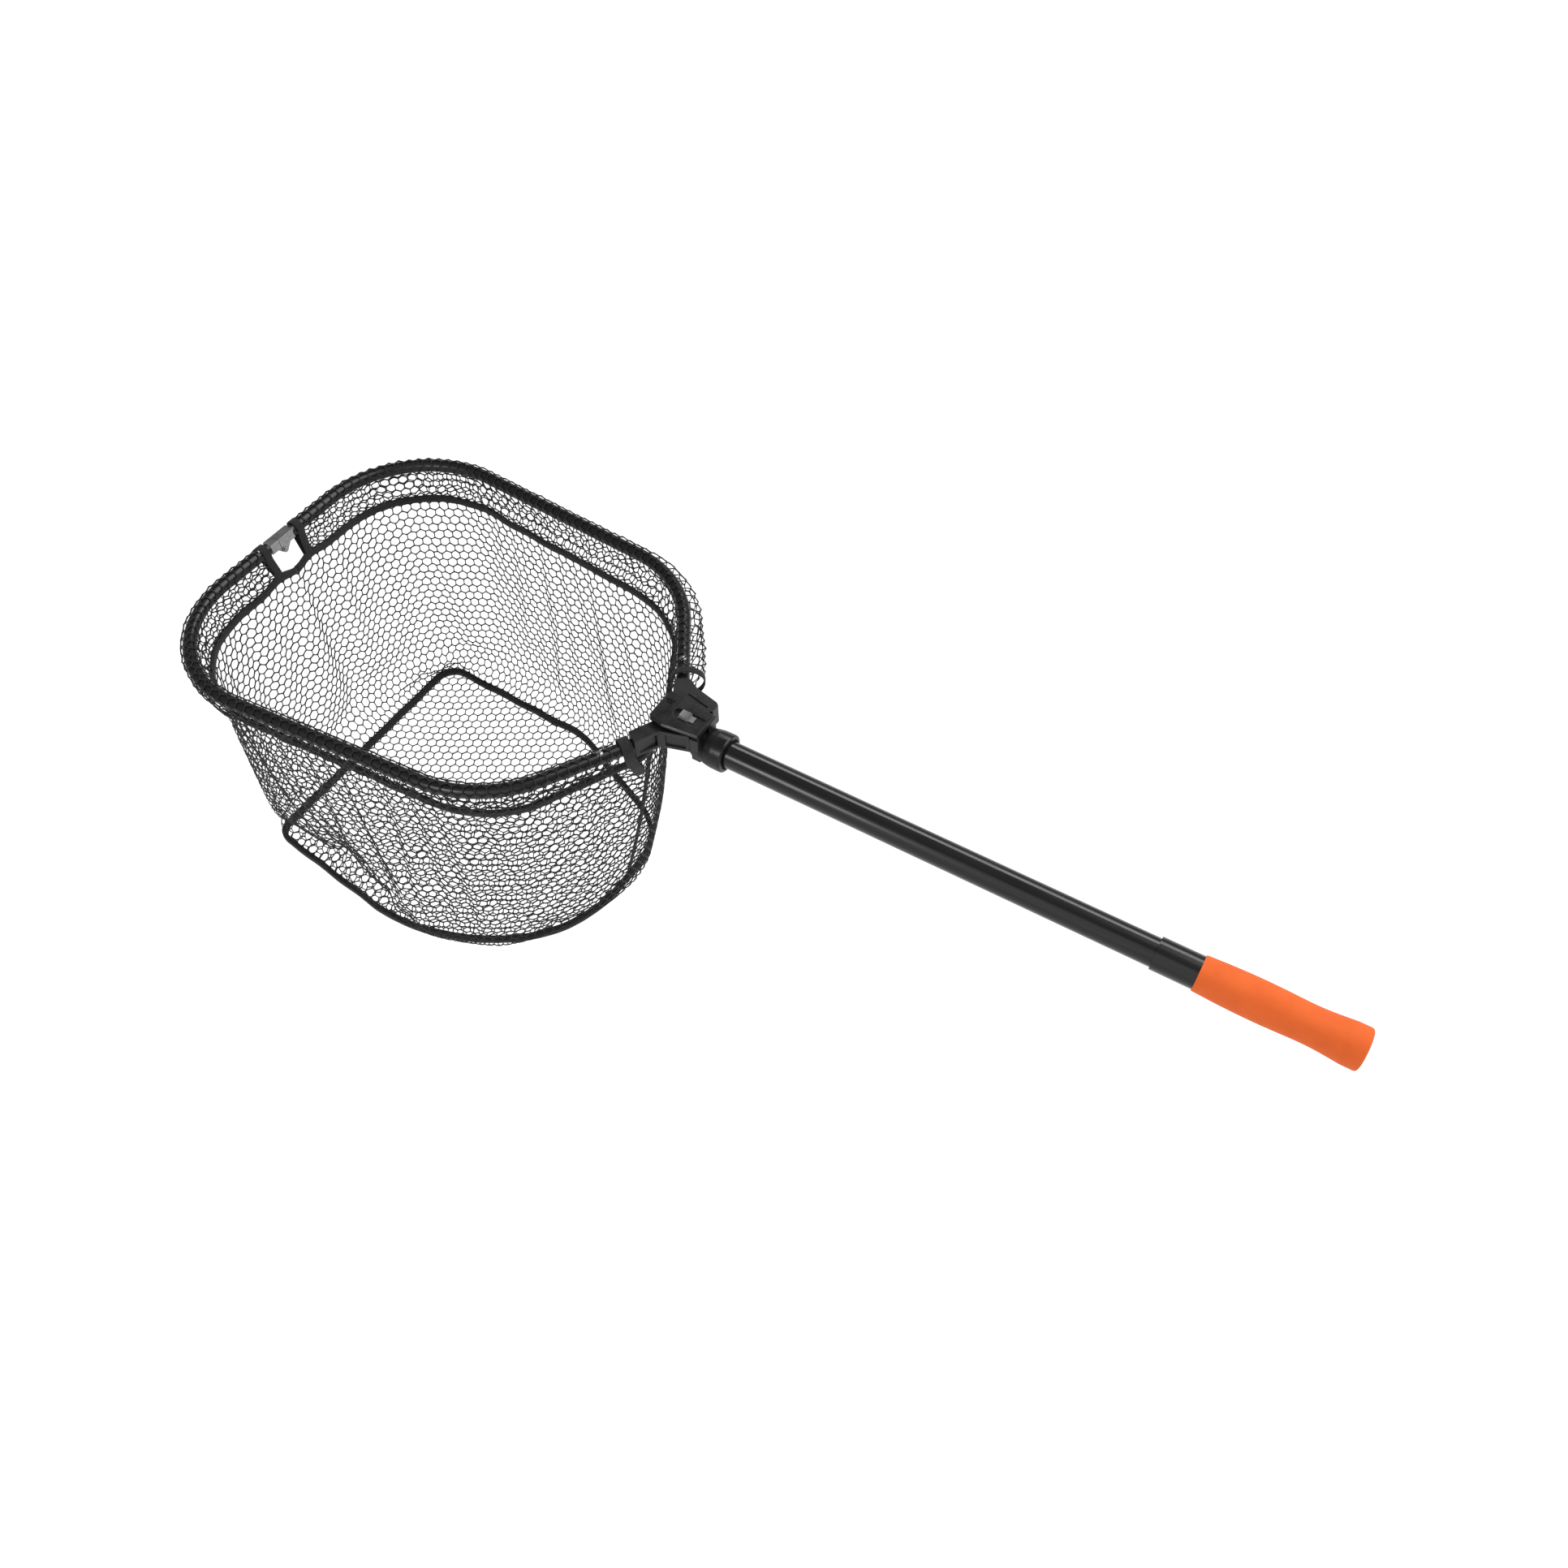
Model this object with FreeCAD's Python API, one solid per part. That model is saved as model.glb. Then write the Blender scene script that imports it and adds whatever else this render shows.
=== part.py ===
import FreeCAD, Part
import math
import os

# Folding landing net, millimetres. Drawn from the hub's centre on the handle's axis:
# +X runs back along the handle to the grip, the hoop lies towards -X, +Z is up and
# the hoop's left half is on -Y. Each finished piece is moved so that the part's origin
# lies on the handle's axis, at the middle of the cylindrical land round the butt.

# ---- driving dimensions ----
HOOP_FRONT = -483.0
HOOP_WIDE = 191.5
HOOP_REAR = (-103.0, 161.0)
HOOP_TIP = (-27.0, 40.0)
FRONT_ROUND = 110.0
REAR_ROUND = 120.0
HOOP_Z = 8.0
FOLD_Z = -2.0
TUBE_R = 6.25
TUBE_BORE = 5.0
SPIGOT_R = 4.98

GRIP_END = 605.0
GRIP_START = 476.0
JUNCTION = 441.0
SHAFT_R = 12.5
SHAFT_BORE = 11.5
SHAFT_START = 20.0
SHAFT_END = 470.0
SLEEVE_R = 14.2
SLEEVE_BORE = 13.2
BUSH_BORE = 12.56
BUTT_R = 17.75
BUTT_LAND = 10.0
GRIP_CORNER = 2.5

COLLAR_R = 18.0
COLLAR_END = 48.0
REAR_BLOCK = 16.8
ARM_LOW = -1.4
ARM_NECK = 6.6
ARM_HIGH = 19.5
KNUCKLE_R = 6.0
PIN_R = 2.5
PIN_HOLE = 2.56
DECK_LOW = 20.2
DECK_HIGH = 22.5
NOSE_FRONT = -26.0
COVER_FRONT = -10.0
COVER_REAR = 25.5
TRACK_FLOOR = 23.6

LEAF_END = 15.5
LEAF_HALF = 5.0
LEAF_LOW = 2.6
LEAF_HIGH = 13.6
LEAF_RIVET = 25.0
ARM_RIVET = 30.0

NET_WALL = 1.2
RING_1_Z = -23.5
RING_1_TILT = 1.84
RING_2_Z = -290.0
TAPE = 7.0
SKIRT_TOP = -3.0
FRONT_GAP = 19.0
REAR_GAP = 50.0

X = FreeCAD.Vector(1, 0, 0)
Y = FreeCAD.Vector(0, 1, 0)
Z = FreeCAD.Vector(0, 0, 1)
TO_ORIGIN = FreeCAD.Vector(GRIP_CORNER + BUTT_LAND / 2 - GRIP_END, 0, 0)


def vec(x, y, z=0.0):
    return FreeCAD.Vector(x, y, z)


def all_round(right, left=None):
    """Corners of a closed outline from its right half and its left one, both written with +Y."""
    return right + [(x, -y, radius) for x, y, radius in reversed(left or right)]


# outlines of the bag: half lists run front to back as (x, y, corner radius)
UNDER_HOOP = all_round([(HOOP_FRONT, HOOP_WIDE, FRONT_ROUND), (-103.0, 161.0, REAR_ROUND),
                        (-40.0, 16.0, 14.0)])
RING_1 = all_round([(-474.0, 182.0, 100.0), (-107.0, 151.0, 105.0), (-38.0, 16.0, 14.0)])
RING_2 = all_round([(-460.0, 141.5, 22.0), (-252.0, 134.0, 80.0), (-92.0, 64.0, 65.0)],
                   [(-460.0, 153.0, 18.0), (-230.0, 180.0, 229.0), (-92.0, 92.0, 142.0)])


def write(name, *shapes):
    """Moves a piece to the part's own frame and writes it as one STEP file."""
    shape = shapes[0] if len(shapes) == 1 else Part.makeCompound(list(shapes))
    shape = shape.copy()
    shape.translate(TO_ORIGIN)
    shape.exportStep("parts/" + name + ".step")
    box = shape.BoundBox
    print(f"{name:20s} solids {len(shape.Solids)} valid {shape.isValid()} volume {shape.Volume:10.0f} "
          f"x {box.XMin:.1f} {box.XMax:.1f} y {box.YMin:.1f} {box.YMax:.1f} z {box.ZMin:.1f} {box.ZMax:.1f}")


def mirrored(shape):
    return shape.mirror(vec(0, 0), Y)


def box(x0, x1, y0, y1, z0, z1):
    return Part.makeBox(x1 - x0, y1 - y0, z1 - z0, vec(x0, y0, z0))


def rod(radius, start, end):
    """A cylinder from one point to another."""
    along = end.sub(start)
    return Part.makeCylinder(radius, along.Length, start, along)


def ring(outer, inner, start, end):
    return rod(outer, start, end).cut(rod(inner, start, end))


def turned(profile):
    """A solid of revolution about the handle's axis, from (x, radius) points."""
    points = [vec(x, 0, r) for x, r in profile]
    face = Part.Face(Part.makePolygon(points + points[:1]))
    return face.revolve(vec(0, 0), X, 360)


def slab(points, z0, z1):
    """An upright prism over a plan outline."""
    corners = [vec(x, y, z0) for x, y in points]
    return Part.Face(Part.makePolygon(corners + corners[:1])).extrude(vec(0, 0, z1 - z0))


def rounded_edges(points, radii, z, closed):
    """Straight runs joined by tangent arcs through plan points, as a list of edges."""
    count = len(points)
    starts = []
    ends = []
    arcs = []
    for i, (x, y) in enumerate(points):
        here = vec(x, y, z)
        if not closed and i in (0, count - 1):
            starts.append(here)
            ends.append(here)
            arcs.append(None)
            continue
        back = vec(*points[i - 1], z).sub(here).normalize()
        ahead = vec(*points[(i + 1) % count], z).sub(here).normalize()
        half = math.acos(back.dot(ahead)) / 2
        reach = radii[i] / math.tan(half)
        middle = back.add(ahead).normalize()
        top = here.add(middle.multiply(radii[i] / math.sin(half) - radii[i]))
        start = here.add(back.multiply(reach))
        end = here.add(ahead.multiply(reach))
        starts.append(start)
        ends.append(end)
        arcs.append(Part.Arc(start, top, end).toShape())
    edges = []
    for i in range(count):
        if arcs[i]:
            edges.append(arcs[i])
        if closed or i < count - 1:
            edges.append(Part.LineSegment(ends[i], starts[(i + 1) % count]).toShape())
    return edges


def hoop_wire(first_y):
    points = [(HOOP_FRONT, first_y), (HOOP_FRONT, HOOP_WIDE), HOOP_REAR, HOOP_TIP]
    return Part.Wire(rounded_edges(points, [0, FRONT_ROUND, REAR_ROUND, 0], HOOP_Z, False))


def pipe(wire, radius):
    """A round bar along a wire that starts along +Y."""
    start = wire.OrderedVertexes[0].Point
    circle = Part.Wire(Part.Circle(start, Y, radius).toShape())
    return wire.makePipeShell([circle], True, True)


# ---- handle: the grip's side of the telescope ----
SLEEVE_END = GRIP_END - 3.0
CAP_DEPTH = 14.0
BUSH_LENGTH = 30.0


def outer_tube():
    return ring(SLEEVE_R, SLEEVE_BORE, vec(JUNCTION, 0), vec(SLEEVE_END, 0))


def mouth_bush():
    """Plastic liner pressed into the outer tube's mouth, in which the shaft slides."""
    return ring(SLEEVE_BORE, BUSH_BORE, vec(JUNCTION, 0), vec(JUNCTION + BUSH_LENGTH, 0))


def grip():
    """Foam grip: swelling towards the front, waisted, and flared to a land at the butt."""
    flare = GRIP_END - BUTT_LAND - GRIP_CORNER
    outline = [
        vec(GRIP_START, 0, 15.2),
        vec(GRIP_START + 24.0, 0, 16.7),
        vec(GRIP_START + 58.0, 0, 17.0),
        vec(GRIP_START + 86.0, 0, 15.2),
        vec(flare - 16.0, 0, BUTT_R - 1.6),
        vec(flare, 0, BUTT_R),
    ]
    side = Part.BSplineCurve()
    side.buildFromPoles(outline)
    land_end = vec(GRIP_END - GRIP_CORNER, 0, BUTT_R)
    face_edge = vec(GRIP_END, 0, BUTT_R - GRIP_CORNER)
    bend = GRIP_CORNER * math.sqrt(0.5)
    corner_mid = vec(GRIP_END - GRIP_CORNER + bend, 0, BUTT_R - GRIP_CORNER + bend)
    inner_end = vec(GRIP_END, 0, SLEEVE_R)
    inner_start = vec(GRIP_START, 0, SLEEVE_R)
    edges = [
        side.toShape(),
        Part.LineSegment(outline[-1], land_end).toShape(),
        Part.Arc(land_end, corner_mid, face_edge).toShape(),
        Part.LineSegment(face_edge, inner_end).toShape(),
        Part.LineSegment(inner_end, inner_start).toShape(),
        Part.LineSegment(inner_start, outline[0]).toShape(),
    ]
    return Part.Face(Part.Wire(edges)).revolve(vec(0, 0), X, 360)


def end_cap():
    """Plug in the outer tube's end, its disc flush with the foam's end face."""
    disc = rod(SLEEVE_R, vec(SLEEVE_END, 0), vec(GRIP_END, 0))
    plug = rod(SLEEVE_BORE, vec(SLEEVE_END - CAP_DEPTH, 0), vec(SLEEVE_END, 0))
    hollow = rod(SLEEVE_BORE - 2.0, vec(SLEEVE_END - CAP_DEPTH, 0), vec(SLEEVE_END - 2.0, 0))
    return disc.fuse(plug).cut(hollow).removeSplitter()


# ---- twist lock inside the telescope ----
CORE_START = SHAFT_END - 14.0
CORE_HEAD = 2.0
CAM_LENGTH = 14.0
CAM_R = 6.6
CAM_OFFSET = 1.0
CAM_RING_BORE = 7.8


def cam_core():
    """Plug pressed into the shaft's end, with an eccentric journal for the ring."""
    plug = rod(SHAFT_BORE, vec(CORE_START, 0), vec(SHAFT_END, 0))
    head = rod(SHAFT_R, vec(SHAFT_END, 0), vec(SHAFT_END + CORE_HEAD, 0))
    journal_start = vec(SHAFT_END + CORE_HEAD, 0, CAM_OFFSET)
    journal = rod(CAM_R, journal_start, journal_start.add(vec(CAM_LENGTH + 0.6, 0)))
    thread = rod(1.6, vec(SHAFT_END, 0, CAM_OFFSET), vec(SHAFT_END + 40, 0, CAM_OFFSET))
    return plug.fuse([head, journal]).cut(thread).removeSplitter()


def cam_ring():
    """Split friction ring that the eccentric spreads against the outer tube."""
    start = SHAFT_END + CORE_HEAD + 0.3
    body = ring(SLEEVE_BORE - 0.08, CAM_RING_BORE, vec(start, 0), vec(start + CAM_LENGTH, 0))
    slit = box(start - 1, start + CAM_LENGTH + 1, -1.0, 1.0, -SLEEVE_BORE - 1, 0)
    return body.cut(slit)


def cam_screw():
    """Screw with a washer head that keeps the ring on its journal."""
    seat = SHAFT_END + CORE_HEAD + CAM_LENGTH + 0.6
    stem = rod(1.6, vec(seat - 12.0, 0, CAM_OFFSET), vec(seat, 0, CAM_OFFSET))
    washer = rod(9.4, vec(seat, 0, CAM_OFFSET), vec(seat + 1.2, 0, CAM_OFFSET))
    head = rod(3.2, vec(seat + 1.2, 0, CAM_OFFSET), vec(seat + 3.6, 0, CAM_OFFSET))
    recess = box(seat + 2.4, seat + 4.0, -3.5, 3.5, CAM_OFFSET - 0.4, CAM_OFFSET + 0.4)
    return stem.fuse([washer, head]).cut(recess).removeSplitter()


# ---- shaft and hub ----
def shaft():
    return ring(SHAFT_R, SHAFT_BORE, vec(SHAFT_START, 0), vec(SHAFT_END, 0))


BACK_FALL = 1.0
SLOPE = -0.03
COVER_SCREWS = [(-17.0, 11.5), (-17.0, -11.5), (13.4, 5.4), (13.4, -5.4)]
NOSE_SCREW_REACH = 1.5
COVER_SCREW_REACH = 0.9
SCREW_HEAD_R = 2.6
SCREW_HEAD = 1.0
COLLAR_SCREW_X = 32.0
STEM_SLOT = (-1.5, 12.5, 2.6)
SPOT_FACE = -16.6
SEAL_DEPTH = 6.0
SEAL_R = 14.6


def cover_top(x):
    """Height of the hub's sloping top, which falls a little towards the handle."""
    return 25.4 + SLOPE * x


def hub_body():
    """Front wall, deck and rear block in one moulding, with the collar for the shaft."""
    front = slab([(NOSE_FRONT, -11.0), (NOSE_FRONT, 11.0), (-21.2, 14.5), (-21.2, -14.5)], -7.5, DECK_HIGH)
    deck = slab([(NOSE_FRONT + 1.5, -14.0), (NOSE_FRONT + 1.5, 14.0), (COVER_FRONT, 16.4), (COVER_REAR, 13.6),
                 (COVER_REAR, -13.6), (COVER_FRONT, -16.4)], DECK_LOW, DECK_HIGH)
    block = box(REAR_BLOCK, COVER_REAR, -13.6, 13.6, -11.0, DECK_HIGH)
    barrel = turned([
        (REAR_BLOCK, 0), (REAR_BLOCK, 15.0), (25.0, 15.6), (30.0, 17.0), (36.0, 17.9), (42.0, COLLAR_R),
        (COLLAR_END - 1.8, COLLAR_R), (COLLAR_END - 0.5, COLLAR_R - 0.5), (COLLAR_END, COLLAR_R - 1.6),
        (COLLAR_END, 0),
    ])
    facets = slab([(REAR_BLOCK, -15.6), (REAR_BLOCK, 15.6), (25.0, 14.8), (25.0, -14.8)], ARM_LOW, 18.0)
    body = front.fuse([deck, block, barrel, facets])
    bore = rod(SHAFT_R, vec(SHAFT_START, 0), vec(COLLAR_END + 1, 0))
    seal = rod(SEAL_R, vec(COLLAR_END - SEAL_DEPTH, 0), vec(COLLAR_END + 1, 0))
    pin = rod(PIN_R, vec(NOSE_FRONT - 1, 0, FOLD_Z), vec(SHAFT_START, 0, FOLD_Z))
    slot = box(STEM_SLOT[0], STEM_SLOT[1], -STEM_SLOT[2], STEM_SLOT[2], 0, 30)
    spring_room = box(10.0, 26.0, -2.6, 2.6, SPRING_Z - 2.4, DECK_LOW)
    collar_hole = rod(1.6, vec(COLLAR_SCREW_X, 0, -30), vec(COLLAR_SCREW_X, 0, -10))
    spot_face = rod(3.1, vec(COLLAR_SCREW_X, 0, -30), vec(COLLAR_SCREW_X, 0, SPOT_FACE))
    holes = [rod(1.3, vec(x, y, DECK_LOW), vec(x, y, 30)) for x, y in COVER_SCREWS]
    sinks = [rod(SCREW_HEAD_R, vec(x, y, 0), vec(x, y, DECK_LOW + SCREW_HEAD)) for x, y in COVER_SCREWS]
    cuts = [bore, seal, pin, slot, spring_room, collar_hole, spot_face] + holes + sinks
    return body.cut(cuts).removeSplitter()


def collar_seal():
    """Ribbed soft ring between the collar's lip and the shaft."""
    end = COLLAR_END
    rib = [(end - SEAL_DEPTH, SHAFT_R), (end - SEAL_DEPTH, SEAL_R), (end - 0.4, SEAL_R)]
    lips = [(end - 1.2, 14.0), (end - 0.6, 13.6), (end - 1.4, 13.1), (end - 1.0, SHAFT_R)]
    return turned(rib + lips)


def top_shell(front, rear, half_front, half_rear, fall_front, fall_rear):
    """Block under the hub's sloping top, with leaning front, sides and back."""
    low = [(front, half_front), (rear, half_rear)]
    lean = 1.6

    def wire(z_of, inset_side, inset_front, inset_rear):
        (xf, yf), (xr, yr) = low
        plan = [
            (xf + inset_front, -yf + inset_side), (xr - inset_rear, -yr + inset_side),
            (xr - inset_rear, yr - inset_side), (xf + inset_front, yf - inset_side),
        ]
        points = [vec(x, y, z_of(x)) for x, y in plan]
        return Part.makePolygon(points + points[:1])

    base = wire(lambda x: DECK_HIGH, 0, 0, 0)
    shoulder = wire(lambda x: cover_top(x) - lean, 0, fall_front * 0.3, fall_rear * 0.6)
    top = wire(cover_top, lean, fall_front, fall_rear)
    lower = Part.makeLoft([base, shoulder], True, True)
    upper = Part.makeLoft([shoulder, top], True, True)
    return lower.fuse(upper).removeSplitter()


def hub_cover():
    """Rear part of the hub's top: slider track, ramp in front of it and screw bosses."""
    shell = top_shell(COVER_FRONT, COVER_REAR, 19.4, 14.8, 0.0, BACK_FALL)
    track = box(-2.4, TRACK_END, -5.4, 5.4, TRACK_FLOOR, 30)
    ramp = rod(5.0, vec(-3.5, 0, TRACK_FLOOR - 0.5), vec(-3.5, 0, 30))
    slot = box(STEM_SLOT[0], STEM_SLOT[1], -STEM_SLOT[2], STEM_SLOT[2], 0, 30)
    holes = [rod(1.3, vec(x, y, 0), vec(x, y, DECK_HIGH + COVER_SCREW_REACH)) for x, y in COVER_SCREWS[2:]]
    return shell.cut([track, ramp, slot] + holes).removeSplitter()


def hub_nose():
    """Front block of the hub's top, with a framed recess."""
    shell = top_shell(NOSE_FRONT, COVER_FRONT - 0.25, 16.8, 19.4, 2.0, 0.0)
    corner = [(NOSE_FRONT - 1.0, 20.0), (NOSE_FRONT - 1.0, 12.2),
              (NOSE_FRONT + 3.6, 16.0), (NOSE_FRONT + 3.6, 20.0)]
    corners = [slab([(x, side * y) for x, y in corner], 10, 30) for side in (-1, 1)]
    panel = slab([(-22.0, -9.0), (-22.0, 9.0), (-13.2, 9.6), (-13.2, -9.6)], cover_top(-17.6) - 0.9, 30)
    pocket = slab([(-20.2, -7.0), (-20.2, 7.0), (-15.2, 7.4), (-15.2, -7.4)], cover_top(-17.6) - 1.7, 30)
    holes = [rod(1.3, vec(x, y, 0), vec(x, y, DECK_HIGH + NOSE_SCREW_REACH)) for x, y in COVER_SCREWS[:2]]
    return shell.cut([panel, pocket] + corners + holes).removeSplitter()


def cover_screws():
    """Four screws from under the deck into the cover and the nose."""
    screws = []
    for x, y in COVER_SCREWS:
        reach = NOSE_SCREW_REACH if x < 0 else COVER_SCREW_REACH
        seat = DECK_LOW + SCREW_HEAD
        head = rod(SCREW_HEAD_R, vec(x, y, DECK_LOW), vec(x, y, seat))
        stem = rod(1.3, vec(x, y, seat), vec(x, y, DECK_HIGH + reach))
        screws.append(head.fuse(stem).removeSplitter())
    return screws


def collar_screw():
    """Screw from below through the collar and the shaft's wall."""
    stem = rod(1.6, vec(COLLAR_SCREW_X, 0, -10.5), vec(COLLAR_SCREW_X, 0, SPOT_FACE))
    head = rod(3.0, vec(COLLAR_SCREW_X, 0, SPOT_FACE), vec(COLLAR_SCREW_X, 0, SPOT_FACE - 1.8))
    cross = box(COLLAR_SCREW_X - 2, COLLAR_SCREW_X + 2, -0.4, 0.4, -20, SPOT_FACE - 1.0)
    return stem.fuse(head).cut(cross).removeSplitter()


def fold_pin():
    return rod(PIN_R, vec(NOSE_FRONT, 0, FOLD_Z), vec(SHAFT_START - 0.4, 0, FOLD_Z))


# ---- slide lock on top of the hub ----
SLIDER_FRONT = -2.0
SLIDER_REAR = 8.0
SLIDER_HALF = 4.75
SLIDER_TAIL = 12.8
TRACK_END = 21.2
SLIDER_TOP = 28.6
STEM = (-1.2, 4.2, 2.3)
BOLT_LOW = 13.6
SPRING_END = 13.6
SPRING_START = 4.4
SPRING_Z = 16.4


def lock_slider():
    """Thumb button with a bevelled top, on a stem through the cover, and a thin tail over the slot."""
    low = TRACK_FLOOR + 0.15
    plan_low = [(SLIDER_FRONT, -SLIDER_HALF), (SLIDER_REAR, -SLIDER_HALF),
                (SLIDER_REAR, SLIDER_HALF), (SLIDER_FRONT, SLIDER_HALF)]
    plan_top = [(x + (1.4 if x < 0 else -1.4), y - math.copysign(1.2, y)) for x, y in plan_low]

    def wire(plan, z):
        points = [vec(x, y, z) for x, y in plan]
        return Part.makePolygon(points + points[:1])

    foot = slab(plan_low, low, low + 1.4)
    cap = Part.makeLoft([wire(plan_low, low + 1.4), wire(plan_top, SLIDER_TOP)], True, True)
    dish = rod(9.0, vec(3.0, -10, SLIDER_TOP + 8.0), vec(3.0, 10, SLIDER_TOP + 8.0))
    tail = box(SLIDER_REAR, SLIDER_TAIL, -3.4, 3.4, low, low + 0.8)
    stem = box(STEM[0], STEM[1], -STEM[2], STEM[2], DECK_LOW - 0.4, low)
    return foot.fuse([cap, tail, stem]).cut(dish).removeSplitter()


def lock_bolt():
    """Bolt on the slider's stem, between the arms' inner faces under the deck."""
    plate = box(STEM[0] - 2.0, STEM[1], -6.6, 6.6, BOLT_LOW, DECK_LOW - 0.4)
    tail = rod(0.9, vec(STEM[1], 0, SPRING_Z), vec(STEM[1] + 3.6, 0, SPRING_Z))
    return plate.fuse(tail).removeSplitter()


def lock_spring():
    """Return spring between the bolt and the rear block, as closed turns side by side."""
    turns = Part.makeHelix(1.5, SPRING_END - SPRING_START - 1.2, 1.9)
    start = vec(1.9, 0, 0)
    wire = Part.Wire(turns)
    circle = Part.Wire(Part.Circle(start, Y, 0.3).toShape())
    coil = wire.makePipeShell([circle], True, True)
    coil.rotate(vec(0, 0), Y, 90)
    coil.translate(vec(SPRING_START + 0.6, 0, SPRING_Z))
    return coil


# ---- folding arms and hoop halves, drawn on the right, +Y ----
RIGHT_KNUCKLES = [(-20.8, -12.2), (-3.6, 4.4)]
LEFT_KNUCKLES = [(-11.9, -3.9), (4.7, 13.4)]
RIGHT_FLANK = [(16.0, 8.2), (16.0, 19.5), (18.5, 20.0), (18.5, 29.0), (15.5, 31.5), (-8.5, 37.0)]
LEFT_FLANK = [(16.0, 8.2), (16.0, 14.6), (-10.0, 22.6)]
RIGHT_PANELS = [[(-6.0, 40.0), (-6.0, 35.0), (13.0, 30.6), (13.0, 40.0)]]
LEFT_PANELS = [[(-5.0, 30.0), (-5.0, 19.6), (12.4, 14.2), (12.4, 30.0)],
               [(-12.8, 22.4), (-6.0, 30.0), (-14.0, 46.0), (-20.0, 39.4)]]
RIGHT_PAD = [(12.0, 22.0), (12.5, 27.5), (-9.0, 32.5), (-11.5, 27.0)]


def tip_direction():
    along = vec(*HOOP_REAR).sub(vec(*HOOP_TIP))
    return along.normalize()


def tip_point(distance, z=HOOP_Z):
    """A point on the hoop's rear straight, measured out from the arm's end."""
    here = vec(*HOOP_TIP, z)
    return here.add(tip_direction().multiply(distance))


def arm(knuckles, flank, panels):
    """Moulded arm: knuckles on the fold pin, root beside the hub, and a spigot for the tube.

    The flank is the root's outer outline from back to front, with shallow panels let into it."""
    across = vec(tip_direction().y, -tip_direction().x).multiply(ARM_NECK)
    end = tip_point(-0.05)
    outer_end = end.add(across)
    inner_end = end.sub(across)
    plan = [(-21.0, 8.2)] + flank
    plan += [(outer_end.x, outer_end.y), (inner_end.x, inner_end.y), (-21.0, 15.0)]
    root = slab(plan, ARM_LOW, ARM_HIGH)
    lets_in = [slab(panel, 1.7, 16.0) for panel in panels]
    shapes = [rod(SPIGOT_R, tip_point(-1.0), tip_point(38.0))]
    for x0, x1 in knuckles:
        shapes.append(rod(KNUCKLE_R, vec(x0, 0, FOLD_Z), vec(x1, 0, FOLD_Z)))
        shapes.append(box(x0, x1, 0, 8.6, ARM_LOW, 5.0))
    body = root.cut(lets_in).fuse(shapes)
    pin = rod(PIN_HOLE, vec(-40, 0, FOLD_Z), vec(40, 0, FOLD_Z))
    rivet = rod(1.5, tip_point(ARM_RIVET, -20), tip_point(ARM_RIVET, 40))
    return body.cut([pin, rivet]).removeSplitter()


def tube():
    """Half of the hoop: one bent aluminium tube, drilled for its rivets and dimpled under their heads."""
    wire = hoop_wire(LEAF_END)
    body = pipe(wire, TUBE_R).cut(pipe(wire, TUBE_BORE))
    return body.cut([rivet(tip_point(ARM_RIVET)), rivet(vec(HOOP_FRONT, LEAF_RIVET))])


def rivet(point):
    """Domed rivet straight down through a tube and the spigot inside it."""
    top = HOOP_Z + TUBE_R - 0.2
    low = HOOP_Z - TUBE_R + 0.2
    stem = rod(1.5, vec(point.x, point.y, low), vec(point.x, point.y, top))
    dome = Part.makeSphere(3.9, vec(point.x, point.y, top - 2.1), Z, 28, 90, 360)
    foot = rod(2.6, vec(point.x, point.y, low - 1.0), vec(point.x, point.y, low))
    return stem.fuse([dome, foot]).removeSplitter()


# ---- front hinge ----
SHEET = 1.2
SEAM = -4.0
EAR_R = 3.2
HINGE_PIN_R = 1.5


def leaf_blank(seam, half):
    """Folded channel open below, with a spigot that goes into its tube."""
    x = HOOP_FRONT
    shell = box(x - half, x + half, seam, LEAF_END, LEAF_LOW, LEAF_HIGH)
    hollow = box(x - half + SHEET, x + half - SHEET, seam - 1, LEAF_END - SHEET,
                 LEAF_LOW - 1, LEAF_HIGH - SHEET)
    spigot = rod(SPIGOT_R, vec(x, LEAF_END - SHEET, HOOP_Z), vec(x, LEAF_END + 18.0, HOOP_Z))
    drill = rod(1.5, vec(x, LEAF_RIVET, -20), vec(x, LEAF_RIVET, 40))
    return shell.cut(hollow).fuse(spigot).cut(drill)


def cheek(offset, side):
    """One ear of a leaf, reaching from the channel's side down to the pin."""
    x0 = HOOP_FRONT + side * offset - SHEET / 2
    x1 = x0 + SHEET
    disc = rod(EAR_R, vec(x0, 0, FOLD_Z), vec(x1, 0, FOLD_Z))
    strap = [(-2.5, FOLD_Z + 2.4), (2.5, FOLD_Z - 2.4), (9.4, LEAF_LOW + 1.0), (9.4, LEAF_HIGH - 4.0),
             (5.6, LEAF_HIGH - 4.0)]
    points = [vec(x0, y, z) for y, z in strap]
    plate = Part.Face(Part.makePolygon(points + points[:1])).extrude(vec(SHEET, 0, 0))
    reach = sorted([HOOP_FRONT + side * (offset - SHEET / 2), HOOP_FRONT + side * LEAF_HALF])
    spacer = box(reach[0], reach[1], 5.8, 9.4, LEAF_LOW + 1.0, LEAF_HIGH - 4.0)
    return disc.fuse([plate, spacer])


def hinge_leaf(seam, ear_offset):
    body = leaf_blank(seam, LEAF_HALF)
    ears = [cheek(ear_offset, side) for side in (-1, 1)]
    hole = rod(HINGE_PIN_R + 0.04, vec(HOOP_FRONT - 20, 0, FOLD_Z), vec(HOOP_FRONT + 20, 0, FOLD_Z))
    return body.fuse(ears).cut(hole).removeSplitter()


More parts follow.
